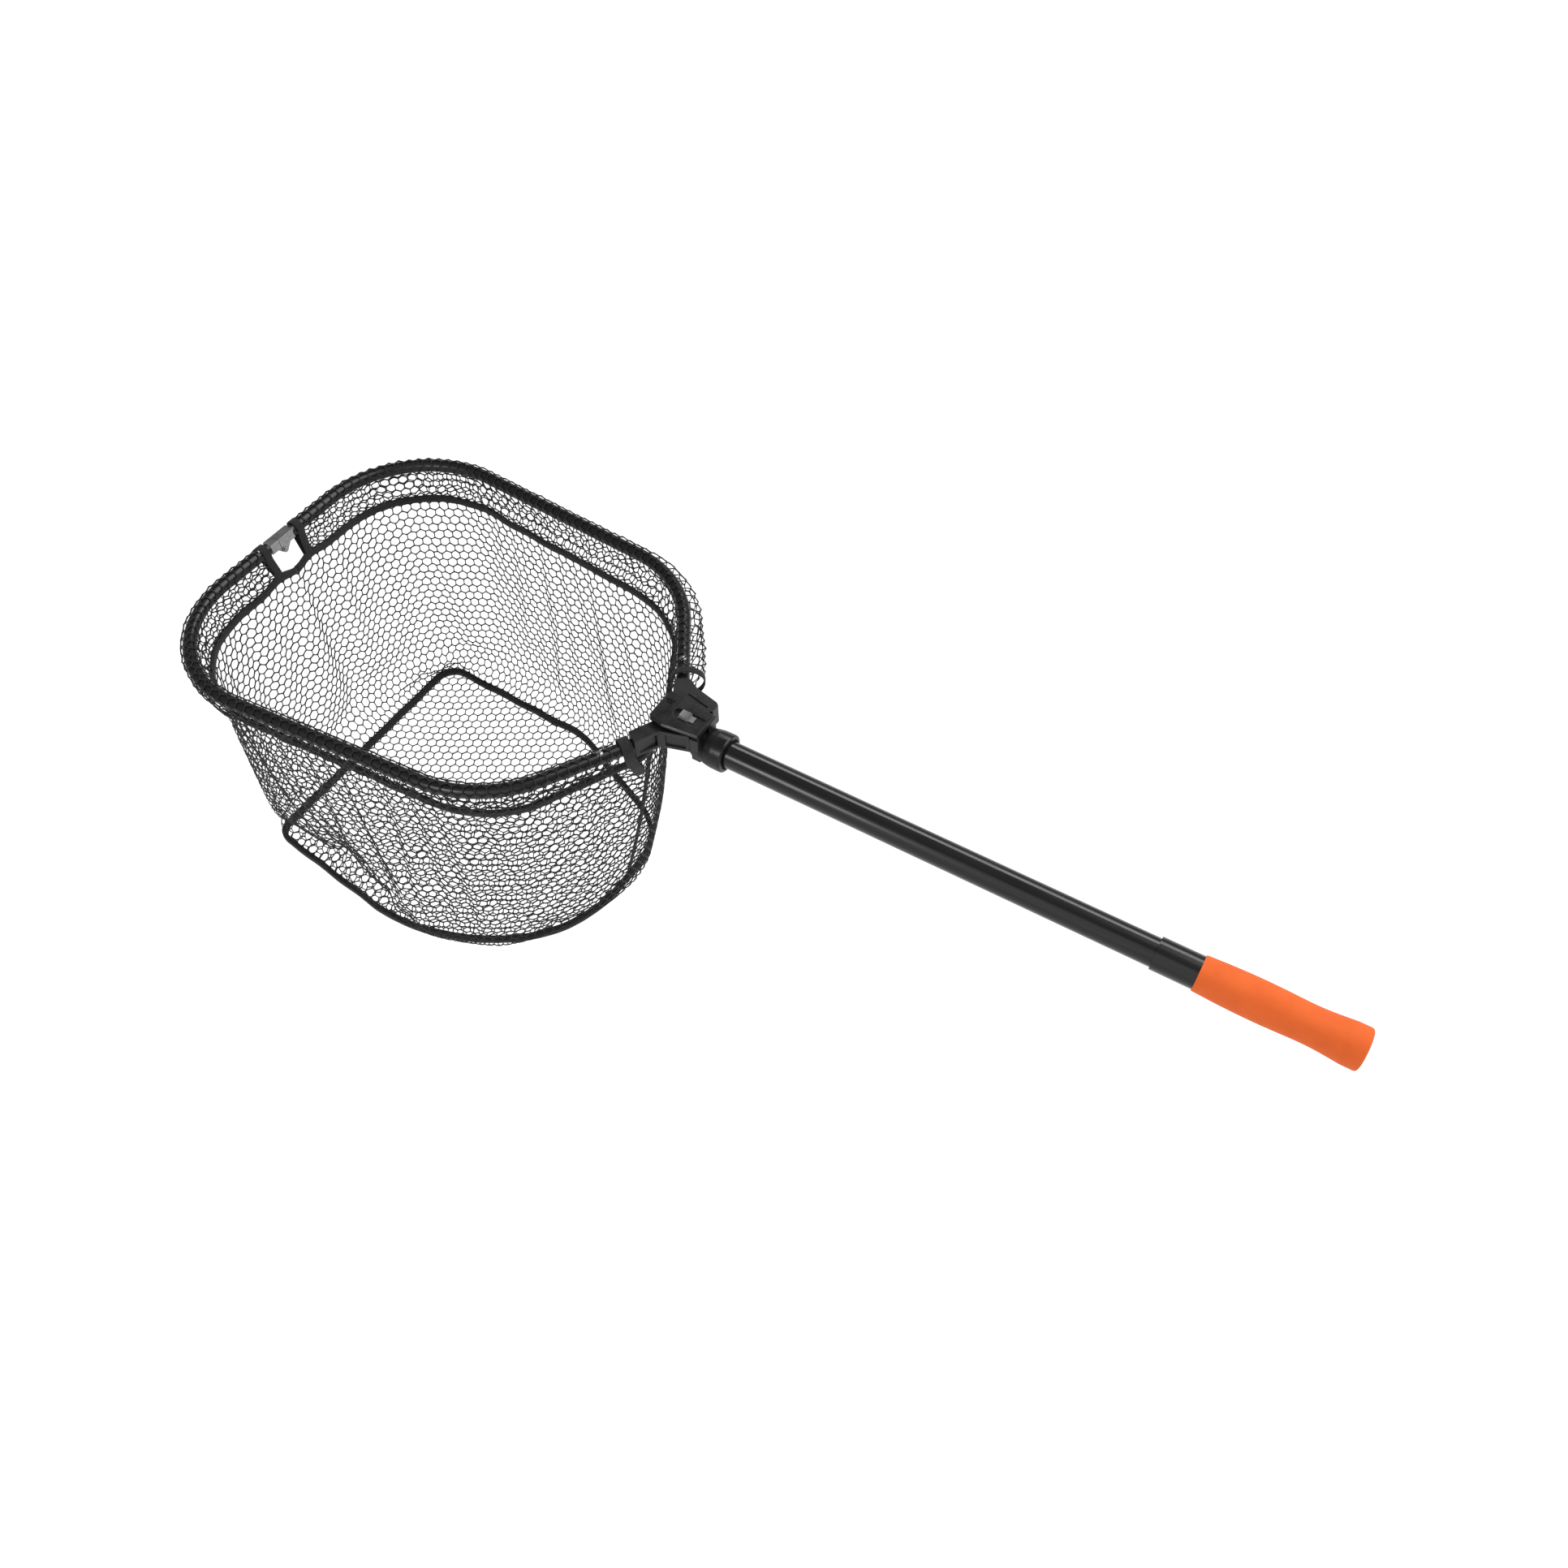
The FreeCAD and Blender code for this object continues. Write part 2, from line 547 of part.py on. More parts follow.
def hinge_pin():
    """Headed pin in the right leaf's ears."""
    x = HOOP_FRONT
    reach = LEAF_HALF + 0.2
    stem = rod(HINGE_PIN_R, vec(x - reach, 0, FOLD_Z), vec(x + reach, 0, FOLD_Z))
    heads = [rod(2.4, vec(x + side * reach, 0, FOLD_Z), vec(x + side * (reach + 1.0), 0, FOLD_Z))
             for side in (-1, 1)]
    return stem.fuse(heads).removeSplitter()


# ---- net bag: plain thin-walled forms of the true outer shape ----
def bag_wire(outline, z, tilt=0.0, inset=0.0):
    """Closed outline moved inward by inset, falling towards the handle by tilt degrees."""
    points = []
    for x, y, radius in outline:
        inward = inset if x < -400 else -inset
        points.append((x + inward, y - math.copysign(inset * 0.9, y)))
    radii = [max(radius - inset, 4.0) for x, y, radius in outline]
    wire = Part.Wire(rounded_edges(points, radii, z, True))
    wire.rotate(vec(outline[0][0], 0, z), Y, tilt)
    return wire


def between(low, high, share):
    """Outline part of the way from one to another."""
    return [tuple(a + (b - a) * share for a, b in zip(p, q)) for p, q in zip(low, high)]


def band(top, low, wall=NET_WALL):
    """Thin wall between two outlines, each given as (outline, z, tilt)."""
    outer = Part.makeLoft([bag_wire(*top), bag_wire(*low)], True, True)
    inner = Part.makeLoft([bag_wire(*top, wall), bag_wire(*low, wall)], True, True)
    return outer.cut(inner)


RIM = (UNDER_HOOP, SKIRT_TOP, 0.0)
UPPER_TAPE_TOP = (RING_1, RING_1_Z, RING_1_TILT)
UPPER_TAPE_LOW = (between(RING_1, RING_2, 0.027), RING_1_Z - TAPE, RING_1_TILT)
LOWER_TAPE_TOP = (RING_2, RING_2_Z, 0.0)
LOWER_TAPE_LOW = (RING_2, RING_2_Z - TAPE, 0.0)


def net_skirt():
    """Left and right halves of the skirt, apart at the front hinge and under the hub."""
    whole = band(RIM, UPPER_TAPE_TOP)
    front_gap = box(HOOP_FRONT - 30, HOOP_FRONT + 60, -FRONT_GAP, FRONT_GAP, -80, 20)
    rear_gap = box(-110, 40, -REAR_GAP, REAR_GAP, -80, 20)
    return whole.cut([front_gap, rear_gap])


def net_floor():
    face = Part.Face(bag_wire(RING_2, RING_2_Z - TAPE))
    return face.extrude(vec(0, 0, -NET_WALL))


def rear_seam():
    """Tape inside the back of the wall, down from the upper ring to the lower one."""
    top_x = RING_1[2][0]
    low_x = RING_2[2][0]
    reach = top_x - HOOP_FRONT
    top_z = RING_1_Z - TAPE - reach * math.sin(math.radians(RING_1_TILT))
    offset = NET_WALL + 2.6

    def strip(wall_x, z):
        x = wall_x - offset
        points = [vec(x - 0.8, -3.5, z), vec(x, -3.5, z), vec(x, 3.5, z), vec(x - 0.8, 3.5, z)]
        return Part.makePolygon(points + points[:1])

    return Part.makeLoft([strip(top_x, top_z - 2), strip(low_x, RING_2_Z + 1)], True, True)


LOOP_IN = TUBE_R + 0.15
LOOP_OUT = TUBE_R + 1.35


def front_loop():
    """Ribbon round the tube beside the hinge, and its stitched tail below."""
    band_ring = ring(LOOP_OUT, LOOP_IN, vec(HOOP_FRONT, 19.0, HOOP_Z), vec(HOOP_FRONT, 27.0, HOOP_Z))
    relief = rod(3.8, vec(HOOP_FRONT, LEAF_RIVET, -20), vec(HOOP_FRONT, LEAF_RIVET, 40))
    return band_ring.cut(relief)


def rear_loop():
    """Ribbon round the tube's end, next to the arm."""
    return ring(LOOP_OUT, LOOP_IN, tip_point(6.0), tip_point(15.0))


def main():
    os.makedirs("parts", exist_ok=True)

    write("outer_tube", outer_tube())
    write("mouth_bush", mouth_bush())
    write("grip", grip())
    write("end_cap", end_cap())

    write("cam_ring", cam_ring())
    write("cam_core", cam_core())
    write("cam_screw", cam_screw())
    write("shaft", shaft().cut(collar_screw()))

    write("hub_body", hub_body())
    write("collar_seal", collar_seal())
    write("hub_cover", hub_cover())
    write("hub_nose", hub_nose())
    write("cover_screws", *cover_screws())
    write("collar_screw", collar_screw())
    write("fold_pin", fold_pin())
    write("lock_slider", lock_slider())
    write("lock_bolt", lock_bolt())
    write("lock_spring", lock_spring())

    right_arm = arm(RIGHT_KNUCKLES, RIGHT_FLANK, RIGHT_PANELS)
    pad = slab(RIGHT_PAD, ARM_HIGH - 1, ARM_HIGH + 0.9)
    write("right_arm", right_arm.fuse(pad).removeSplitter())
    write("left_arm", mirrored(arm(LEFT_KNUCKLES, LEFT_FLANK, LEFT_PANELS)))
    write("right_tube", tube())
    write("left_tube", mirrored(tube()))
    write("right_arm_rivet", rivet(tip_point(ARM_RIVET)))
    write("left_arm_rivet", mirrored(rivet(tip_point(ARM_RIVET))))

    write("right_leaf", hinge_leaf(SEAM, LEAF_HALF - SHEET / 2))
    write("left_leaf", mirrored(hinge_leaf(-SEAM + 0.4, LEAF_HALF - SHEET * 1.5 - 0.15)))
    write("hinge_pin", hinge_pin())
    write("right_leaf_rivet", rivet(vec(HOOP_FRONT, LEAF_RIVET)))
    write("left_leaf_rivet", mirrored(rivet(vec(HOOP_FRONT, LEAF_RIVET))))

    write("net_skirt", *net_skirt().Solids)
    write("upper_tape", band(UPPER_TAPE_TOP, UPPER_TAPE_LOW))
    write("net_wall", band(UPPER_TAPE_LOW, LOWER_TAPE_TOP))
    write("lower_tape", band(LOWER_TAPE_TOP, LOWER_TAPE_LOW))
    write("net_floor", net_floor())
    write("rear_seam_tape", rear_seam())
    write("right_front_loop", front_loop())
    write("left_front_loop", mirrored(front_loop()))
    write("right_rear_loop", rear_loop())
    write("left_rear_loop", mirrored(rear_loop()))


main()
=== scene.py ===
import math

import bpy
import numpy as np
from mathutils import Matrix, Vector


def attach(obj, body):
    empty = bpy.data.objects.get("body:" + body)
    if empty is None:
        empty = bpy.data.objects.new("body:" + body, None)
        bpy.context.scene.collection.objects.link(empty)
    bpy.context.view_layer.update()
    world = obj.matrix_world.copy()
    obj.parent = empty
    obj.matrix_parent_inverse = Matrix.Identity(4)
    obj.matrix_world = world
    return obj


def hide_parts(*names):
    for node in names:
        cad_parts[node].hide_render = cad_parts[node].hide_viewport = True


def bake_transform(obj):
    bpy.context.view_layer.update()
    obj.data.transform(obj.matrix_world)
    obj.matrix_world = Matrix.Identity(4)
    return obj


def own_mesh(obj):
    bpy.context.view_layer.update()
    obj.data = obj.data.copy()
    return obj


# Folding landing net. Drawing sizes are millimetres from the hub's centre, as in the part's source:
# +X runs back to the grip, the hoop lies towards -X, and the hoop's left half is on -Y.
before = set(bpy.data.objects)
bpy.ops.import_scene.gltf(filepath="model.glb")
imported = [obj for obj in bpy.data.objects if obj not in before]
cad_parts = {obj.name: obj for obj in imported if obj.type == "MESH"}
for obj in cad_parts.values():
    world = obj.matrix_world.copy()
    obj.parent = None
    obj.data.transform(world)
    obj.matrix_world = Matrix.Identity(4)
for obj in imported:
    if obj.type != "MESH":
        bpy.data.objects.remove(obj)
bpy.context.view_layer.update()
rng = np.random.default_rng(7)

MM = 0.001
HUB_X = -0.5975
HOOP_Z = 8.0
TUBE_R = 6.25
RING_1_Z = -23.5
RING_1_SLOPE = 0.0321
RING_2_Z = -290.0
TAPE = 7.0
MESH_PITCH = 10.8
TWINE_R = 0.68
RIB_R = 0.56
CLOTH_MASS = 0.02


def both(right, left=None):
    """Half outlines of the two sides, each front to back as (x, y, corner radius) with +Y."""
    return {"right": right, "left": left or right}


HOOP = both([(-483.0, 191.5, 110.0), (-103.0, 161.0, 120.0), (-27.0, 40.0, 6.0)])
RING_1 = both([(-474.0, 182.0, 100.0), (-107.0, 151.0, 105.0), (-38.0, 16.0, 14.0)])
RING_2 = both([(-460.0, 141.5, 22.0), (-252.0, 134.0, 80.0), (-92.0, 64.0, 65.0)],
              [(-460.0, 153.0, 18.0), (-230.0, 180.0, 229.0), (-92.0, 92.0, 142.0)])
SIDES = {"left": -1.0, "right": 1.0}
FRONT_LOOP_Y = 23.0
RIBBON_LIFT = 4.5
RIBBON_REACH = 16.0
HINGE_DROP = 1.5
HINGE_REACH = 12.0
BAG_MIDDLE = np.array([-290.0, 0.0, 0.0])
Z = np.array([0.0, 0.0, 1.0])


def placed(points):
    """Drawing points in millimetres as points of the row frame, in metres."""
    moved = np.array(points, float) * MM
    moved[..., 0] += HUB_X
    return moved


# ---- outlines ----
def segments(corners):
    """Half an outline as (kind, data) runs and arcs, from the front middle to the rear middle."""
    plan = [np.array([corners[0][0], 0.0])]
    plan += [np.array(c[:2]) for c in corners]
    plan += [np.array([corners[-1][0], 0.0])]
    made = []
    start = plan[0]
    for i, corner in enumerate(corners, 1):
        here = plan[i]
        back = (plan[i - 1] - here) / np.linalg.norm(plan[i - 1] - here)
        ahead = (plan[i + 1] - here) / np.linalg.norm(plan[i + 1] - here)
        half = math.acos(float(back @ ahead)) / 2
        reach = corner[2] / math.tan(half)
        middle = (back + ahead) / np.linalg.norm(back + ahead)
        centre = here + middle * corner[2] / math.sin(half)
        made.append(("run", start, here + back * reach))
        made.append(("arc", centre, here + back * reach, here + ahead * reach))
        start = here + ahead * reach
    made.append(("run", start, plan[-1]))
    return made


def segment_length(segment):
    if segment[0] == "run":
        return float(np.linalg.norm(segment[2] - segment[1]))
    a, b = segment[2] - segment[1], segment[3] - segment[1]
    radius = np.linalg.norm(a)
    return float(radius * math.acos(float(a @ b) / radius**2))


def outline(corners, u):
    """Plan points of half an outline, at shares u of its length from the front middle to the rear."""
    u = np.atleast_1d(np.clip(u, 0.0, 1.0))
    made = np.zeros((len(u), 2))
    pieces = segments(corners)
    knots = np.cumsum([0.0] + [segment_length(piece) for piece in pieces])
    knots /= knots[-1]
    which = np.clip(np.searchsorted(knots, u, side="right") - 1, 0, len(pieces) - 1)
    for i, segment in enumerate(pieces):
        at = which == i
        t = ((u[at] - knots[i]) / (knots[i + 1] - knots[i]))[:, None]
        if segment[0] == "run":
            made[at] = segment[1] + (segment[2] - segment[1]) * t
            continue
        a, b = segment[2] - segment[1], segment[3] - segment[1]
        turn = math.acos(float(a @ b) / float(a @ a))
        made[at] = segment[1] + (a * np.sin((1 - t) * turn) + b * np.sin(t * turn)) / math.sin(turn)
    return made


def around(corners, u, z, side=None):
    """Points of a closed outline at height z. With a side, u runs along that half only.
    Without one, u from 0 to 1 goes round from the rear middle, by the right, to the rear again."""
    if side is None:
        half = np.abs(2 * u - 1)
        on_right = u < 0.5
    else:
        half = u
        on_right = np.full(len(u), side == "right")
    right = outline(corners["right"], half)
    left = outline(corners["left"], half) * [1.0, -1.0]
    plan = np.where(on_right[:, None], right, left)
    return np.column_stack([plan, np.broadcast_to(z, len(u))])


def upper_ring(u, drop=0.0, side=None):
    """Points round the upper ring, which falls a little towards the handle and is held up
    at the front by the two ribbons beside the hinge."""
    points = around(RING_1, u, 0.0, side)
    ring_front = RING_1["right"][0][0]
    points[:, 2] = RING_1_Z - RING_1_SLOPE * (points[:, 0] - ring_front) - drop
    front = points[:, 0] < BAG_MIDDLE[0]
    held_up = np.exp(-((np.abs(points[:, 1]) - FRONT_LOOP_Y) / RIBBON_REACH) ** 2) * front
    between = np.exp(-(points[:, 1] / HINGE_REACH) ** 2) * front
    points[:, 2] += RIBBON_LIFT * held_up - HINGE_DROP * between
    return points


def outward(points):
    """Unit plan normals of a line of points, pointing away from the bag's middle."""
    along = np.gradient(points, axis=0)
    normal = np.column_stack([along[:, 1], -along[:, 0], np.zeros(len(points))])
    normal /= np.maximum(np.linalg.norm(normal, axis=1), 1e-9)[:, None]
    away = points - BAG_MIDDLE
    flip = np.sign((normal * away).sum(1))
    return normal * np.where(flip == 0, 1, flip)[:, None]


def smooth_noise(count, waves, closed=True):
    """A smooth random line of about unit height, from a few waves."""
    t = np.linspace(0, 1, count, endpoint=not closed)
    total = np.zeros(count)
    for wave in range(1, waves + 1):
        phase = rng.uniform(0, 2 * math.pi)
        total += rng.normal() * np.sin(2 * math.pi * wave * t + phase)
    return total / math.sqrt(waves)


# ---- mesh helpers ----
def new_object(name, vertices, faces, material, uvs=None):
    mesh = bpy.data.meshes.new(name)
    mesh.from_pydata(np.asarray(vertices).tolist(), [], [tuple(int(i) for i in f) for f in faces])
    mesh.update()
    if uvs is not None:
        layer = mesh.uv_layers.new(name="UVMap")
        loops = np.zeros(len(mesh.loops), np.int32)
        mesh.loops.foreach_get("vertex_index", loops)
        layer.data.foreach_set("uv", np.asarray(uvs, np.float32)[loops].ravel())
    mesh.shade_smooth()
    made = bpy.data.objects.new(name, mesh)
    bpy.context.scene.collection.objects.link(made)
    mesh.materials.append(material)
    return made


def unit(vectors):
    return vectors / np.maximum(np.linalg.norm(vectors, axis=-1, keepdims=True), 1e-9)


def twines(starts, middles, ends, radii, sides=4):
    """One closed thin tube for each strand, thicker at its ends, as (vertices, faces)."""
    count = len(starts)
    along = unit(ends - starts)
    helper = np.where(np.abs(along[:, 2:3]) > 0.8, np.array([[1.0, 0, 0]]), np.array([[0, 0, 1.0]]))
    across = unit(np.cross(along, helper))
    other = np.cross(along, across)
    lift = along * radii[:, None] * 0.6
    rings = [(starts - lift, 1.15), (starts + lift * 2.2, 1.1), (middles, 0.9),
             (ends - lift * 2.2, 1.1), (ends + lift, 1.15)]
    vertices = np.zeros((count, len(rings), sides, 3))
    for i, (centre, size) in enumerate(rings):
        for k in range(sides):
            turn = 2 * math.pi * (k + 0.5) / sides
            reach = (radii * size)[:, None]
            vertices[:, i, k] = centre + (across * math.cos(turn) + other * math.sin(turn)) * reach
    one = []
    for i in range(len(rings) - 1):
        for k in range(sides):
            low, high = i * sides, (i + 1) * sides
            one.append((low + k, low + (k + 1) % sides, high + (k + 1) % sides, high + k))
    one.append(tuple(reversed(range(sides))))
    one.append(tuple((len(rings) - 1) * sides + k for k in range(sides)))
    faces = (np.array(one)[None] + np.arange(count)[:, None, None] * len(rings) * sides).reshape(-1, 4)
    return vertices.reshape(-1, 3), faces


def on_grid(grid, u, v):
    """Points of a grid of points at shares u and v of its two directions, with smooth steps between."""
    last_u, last_v = grid.shape[0] - 1, grid.shape[1] - 1
    a = np.clip(u, 0, 1) * last_u
    b = np.clip(v, 0, 1) * last_v
    i = np.clip(a.astype(int), 0, last_u - 1)
    j = np.clip(b.astype(int), 0, last_v - 1)
    s, t = (a - i)[:, None], (b - j)[:, None]
    low = grid[i, j] * (1 - s) + grid[i + 1, j] * s
    high = grid[i, j + 1] * (1 - s) + grid[i + 1, j + 1] * s
    return low * (1 - t) + high * t


def honeycomb(columns, rows, closed):
    """Six-sided netting as (nodes in 0..1, edges, is_rib). Zigzag courses run along u, and
    ribs join each course to the next. The ribs are the doubled twines of knotless netting."""
    steps = 2 * columns
    width = steps if closed else steps + 1
    nodes = np.zeros((rows, width, 2))
    column = np.arange(width)
    for row in range(rows):
        zigzag = np.where((column + row) % 2 == 0, 0.25, -0.25)
        nodes[row, :, 0] = column / steps
        nodes[row, :, 1] = (row * 1.5 + zigzag + 0.25) / (1.5 * (rows - 1) + 0.5)
    index = np.arange(rows * width).reshape(rows, width)
    edges, rib = [], []
    for row in range(rows):
        ahead = np.roll(index[row], -1) if closed else index[row][1:]
        here = index[row] if closed else index[row][:-1]
        edges.append(np.column_stack([here, ahead]))
        rib.append(np.zeros(len(here), bool))
        if row < rows - 1:
            up = (column + row) % 2 == 0
            edges.append(np.column_stack([index[row][up], index[row + 1][up]]))
            rib.append(np.ones(int(up.sum()), bool))
    return nodes.reshape(-1, 2), np.concatenate(edges), np.concatenate(rib)


def strand_piece(name, points, edges, middles, rib, material):
    """An object of netting from its nodes and strands."""
    radii = np.where(rib, RIB_R, TWINE_R) * rng.uniform(0.9, 1.1, len(edges))
    vertices, faces = twines(points[edges[:, 0]], middles, points[edges[:, 1]], radii)
    return new_object(name, placed(vertices), faces, material)


def strip(name, path, across, width, thick, material):
    """A woven tape along a path, with rounded edges and a shallow crown. UVs run along it in metres."""
    across = unit(across)
    along = unit(np.gradient(path, axis=0))
    across = unit(across - along * (across * along).sum(1)[:, None])
    normal = np.cross(along, across)
    section = [(-0.5, -0.35), (-0.42, -0.5), (0.0, -0.56), (0.42, -0.5), (0.5, -0.35),
               (0.5, 0.35), (0.42, 0.5), (0.0, 0.56), (-0.42, 0.5), (-0.5, 0.35)]
    rows = len(section)
    width = np.broadcast_to(width, len(path))
    vertices = np.zeros((len(path), rows, 3))
    uvs = np.zeros((len(path), rows, 2))
    gone = np.concatenate([[0], np.cumsum(np.linalg.norm(np.diff(path, axis=0), axis=1))])
    for k, (a, b) in enumerate(section):
        vertices[:, k] = path + across * (a * width)[:, None] + normal * b * thick
        uvs[:, k] = np.column_stack([gone * MM, a * width * MM])
    faces = []
    for i in range(len(path) - 1):
        for k in range(rows):
            low, high, m = i * rows, (i + 1) * rows, (k + 1) % rows
            faces.append((low + k, low + m, high + m, high + k))
    faces.append(tuple(reversed(range(rows))))
    faces.append(tuple((len(path) - 1) * rows + k for k in range(rows)))
    return new_object(name, placed(vertices.reshape(-1, 3)), faces, material, uvs=uvs.reshape(-1, 2))


# ---- cloth ----
def relaxed(grid, pins, slack, frames, closed):
    """The grid of points after it hangs as cloth, held where pins are 1 and cut larger by slack."""
    count_u, count_v = grid.shape[:2]
    index = np.arange(count_u * count_v).reshape(count_u, count_v)
    faces = []
    for i in range(count_u if closed else count_u - 1):
        k = (i + 1) % count_u
        for j in range(count_v - 1):
            faces.append((index[i, j], index[k, j], index[k, j + 1], index[i, j + 1]))
    mesh = bpy.data.meshes.new("cloth")
    mesh.from_pydata(placed(grid.reshape(-1, 3)).tolist(), [], [tuple(int(x) for x in f) for f in faces])
    cloth = bpy.data.objects.new("cloth", mesh)
    bpy.context.scene.collection.objects.link(cloth)
    group = cloth.vertex_groups.new(name="held")
    for i, weight in enumerate(pins.ravel()):
        group.add([i], float(weight), "REPLACE")
    modifier = cloth.modifiers.new("cloth", "CLOTH")
    settings = modifier.settings
    settings.quality = 5
    settings.mass = CLOTH_MASS
    settings.tension_stiffness = 25
    settings.compression_stiffness = 8
    settings.shear_stiffness = 2
    settings.bending_stiffness = 0.03
    settings.tension_damping = 8
    settings.compression_damping = 8
    settings.air_damping = 2
    settings.shrink_min = -slack
    settings.vertex_group_mass = "held"
    settings.pin_stiffness = 1
    modifier.collision_settings.use_collision = False
    modifier.point_cache.frame_start = 1
    modifier.point_cache.frame_end = frames
    scene = bpy.context.scene
    for number in range(1, frames + 1):
        scene.frame_set(number)
    shown = cloth.evaluated_get(bpy.context.evaluated_depsgraph_get())
    points = np.zeros(len(mesh.vertices) * 3, np.float32)
    shown.data.vertices.foreach_get("co", points)
    bpy.data.objects.remove(cloth)
    scene.frame_set(1)
    made = points.reshape(count_u, count_v, 3).astype(float)
    made[..., 0] -= HUB_X
    return made / MM


# ---- baking pieces in place ----
def fold_with(piece):
    """Bakes the piece's transform into its mesh."""
    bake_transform(piece)


# ---- materials ----
# Texture scales are repeats per metre, and bevels and bump depths are metres.
def shader(name):
    """A new material, with its nodes, their links and its Principled shader."""
    made = bpy.data.materials.new(name)
    made.use_nodes = True
    nodes = made.node_tree.nodes
    principled = nodes["Principled BSDF"]
    return made, nodes, made.node_tree.links, principled


def texture(nodes, links, kind, scale, coordinates="Object", stretch=(1, 1, 1), **settings):
    """A texture node on object or UV coordinates, in repeats per metre."""
    place = nodes.new("ShaderNodeTexCoord")
    mapping = nodes.new("ShaderNodeMapping")
    mapping.inputs["Scale"].default_value = stretch
    made = nodes.new(kind)
    made.inputs["Scale"].default_value = scale
    for key, value in settings.items():
        if key in made.inputs:
            made.inputs[key].default_value = value
        else:
            setattr(made, key, value)
    links.new(place.outputs[coordinates], mapping.inputs["Vector"])
    links.new(mapping.outputs["Vector"], made.inputs["Vector"])
    return made


def ramp(nodes, links, source, stops):
    """A colour ramp from (place, colour) stops; a number stands for a grey."""
    made = nodes.new("ShaderNodeValToRGB")
    elements = made.color_ramp.elements
    while len(elements) < len(stops):
        elements.new(0.5)
    for element, (place, colour) in zip(elements, stops):
        element.position = place
        element.color = (colour, colour, colour, 1) if isinstance(colour, float) else (*colour, 1)
    links.new(source, made.inputs["Fac"])
    return made.outputs["Color"]


def bump(nodes, links, principled, height, strength, depth, bevel=None):
    """Bump over the surface, on edges rounded by bevel metres where that is given."""
    made = nodes.new("ShaderNodeBump")
    made.inputs["Strength"].default_value = strength
    made.inputs["Distance"].default_value = depth
    links.new(height, made.inputs["Height"])
    if bevel:
        rounded = nodes.new("ShaderNodeBevel")
        rounded.samples = 6
        rounded.inputs["Radius"].default_value = bevel
        links.new(rounded.outputs["Normal"], made.inputs["Normal"])
    links.new(made.outputs["Normal"], principled.inputs["Normal"])


def moulded_plastic(name, low, high, rough, bevel):
    """Glass-filled nylon: fine moulded grain, cloudy gloss and slightly rounded edges."""
    made, nodes, links, principled = shader(name)
    cloud = texture(nodes, links, "ShaderNodeTexNoise", 90.0, Detail=4.0)
    links.new(ramp(nodes, links, cloud.outputs["Fac"], [(0.3, low), (0.7, high)]),
              principled.inputs["Base Color"])
    links.new(ramp(nodes, links, cloud.outputs["Fac"], [(0.3, rough - 0.06), (0.7, rough + 0.08)]),
              principled.inputs["Roughness"])
    speck = texture(nodes, links, "ShaderNodeTexNoise", 2250.0, Detail=3.0)
    bump(nodes, links, principled, speck.outputs["Fac"], 0.14, 0.0002, bevel)
    principled.inputs["Specular IOR Level"].default_value = 0.28
    return made


def anodised_tube(name, colour, rough):
    """Drawn and anodised aluminium: long faint draw lines along the tube under a clear coat."""
    made, nodes, links, principled = shader(name)
    lines = texture(nodes, links, "ShaderNodeTexNoise", 900.0, stretch=(0.01, 1, 1), Detail=3.0)
    cloud = texture(nodes, links, "ShaderNodeTexNoise", 30.0, Detail=3.0)
    shade = ramp(nodes, links, lines.outputs["Fac"],
                 [(0.35, tuple(c * 0.75 for c in colour)), (0.65, tuple(c * 1.25 for c in colour))])
    links.new(shade, principled.inputs["Base Color"])
    links.new(ramp(nodes, links, cloud.outputs["Fac"], [(0.3, rough - 0.04), (0.7, rough + 0.05)]),
              principled.inputs["Roughness"])
    principled.inputs["Metallic"].default_value = 0.4
    principled.inputs["Specular IOR Level"].default_value = 0.2
    principled.inputs["Coat Weight"].default_value = 0.35
    principled.inputs["Coat Roughness"].default_value = 0.22
    bump(nodes, links, principled, lines.outputs["Fac"], 0.03, 0.0001)
    return made


def foam(name):
    """Closed-cell EVA foam: dense fine pores, a matte velvety face, slightly uneven colour and a faint
    painted orange glow that evens out its shading.
    """
    made, nodes, links, principled = shader(name)
    cloud = texture(nodes, links, "ShaderNodeTexNoise", 60.0, Detail=5.0)
    shade = ramp(nodes, links, cloud.outputs["Fac"],
                 [(0.25, (0.55, 0.091, 0.015)),
                  (0.5, (0.58, 0.100, 0.018)),
                  (0.75, (0.61, 0.109, 0.021))])
    links.new(shade, principled.inputs["Base Color"])
    pores = texture(nodes, links, "ShaderNodeTexVoronoi", 1500.0, feature="F1")
    fine = texture(nodes, links, "ShaderNodeTexNoise", 2600.0, Detail=4.0)
    mix = nodes.new("ShaderNodeMath")
    mix.operation = "MULTIPLY_ADD"
    mix.inputs[1].default_value = 0.6
    links.new(pores.outputs["Distance"], mix.inputs[0])
    links.new(fine.outputs["Fac"], mix.inputs[2])
    bump(nodes, links, principled, mix.outputs[0], 0.4, 0.0004)
    principled.inputs["Roughness"].default_value = 0.78
    # Painted glow: a faint orange emission lifts the grip's shaded underside so it reads evenly lit; the
    # foam gives off no light.
    principled.inputs["Emission Color"].default_value = (0.75, 0.125, 0.025, 1)
    principled.inputs["Emission Strength"].default_value = 0.14
    principled.inputs["Specular IOR Level"].default_value = 0.2
    principled.inputs["Sheen Weight"].default_value = 0.08
    principled.inputs["Sheen Roughness"].default_value = 0.5
    principled.inputs["Sheen Tint"].default_value = (1.0, 0.6, 0.4, 1)
    return made


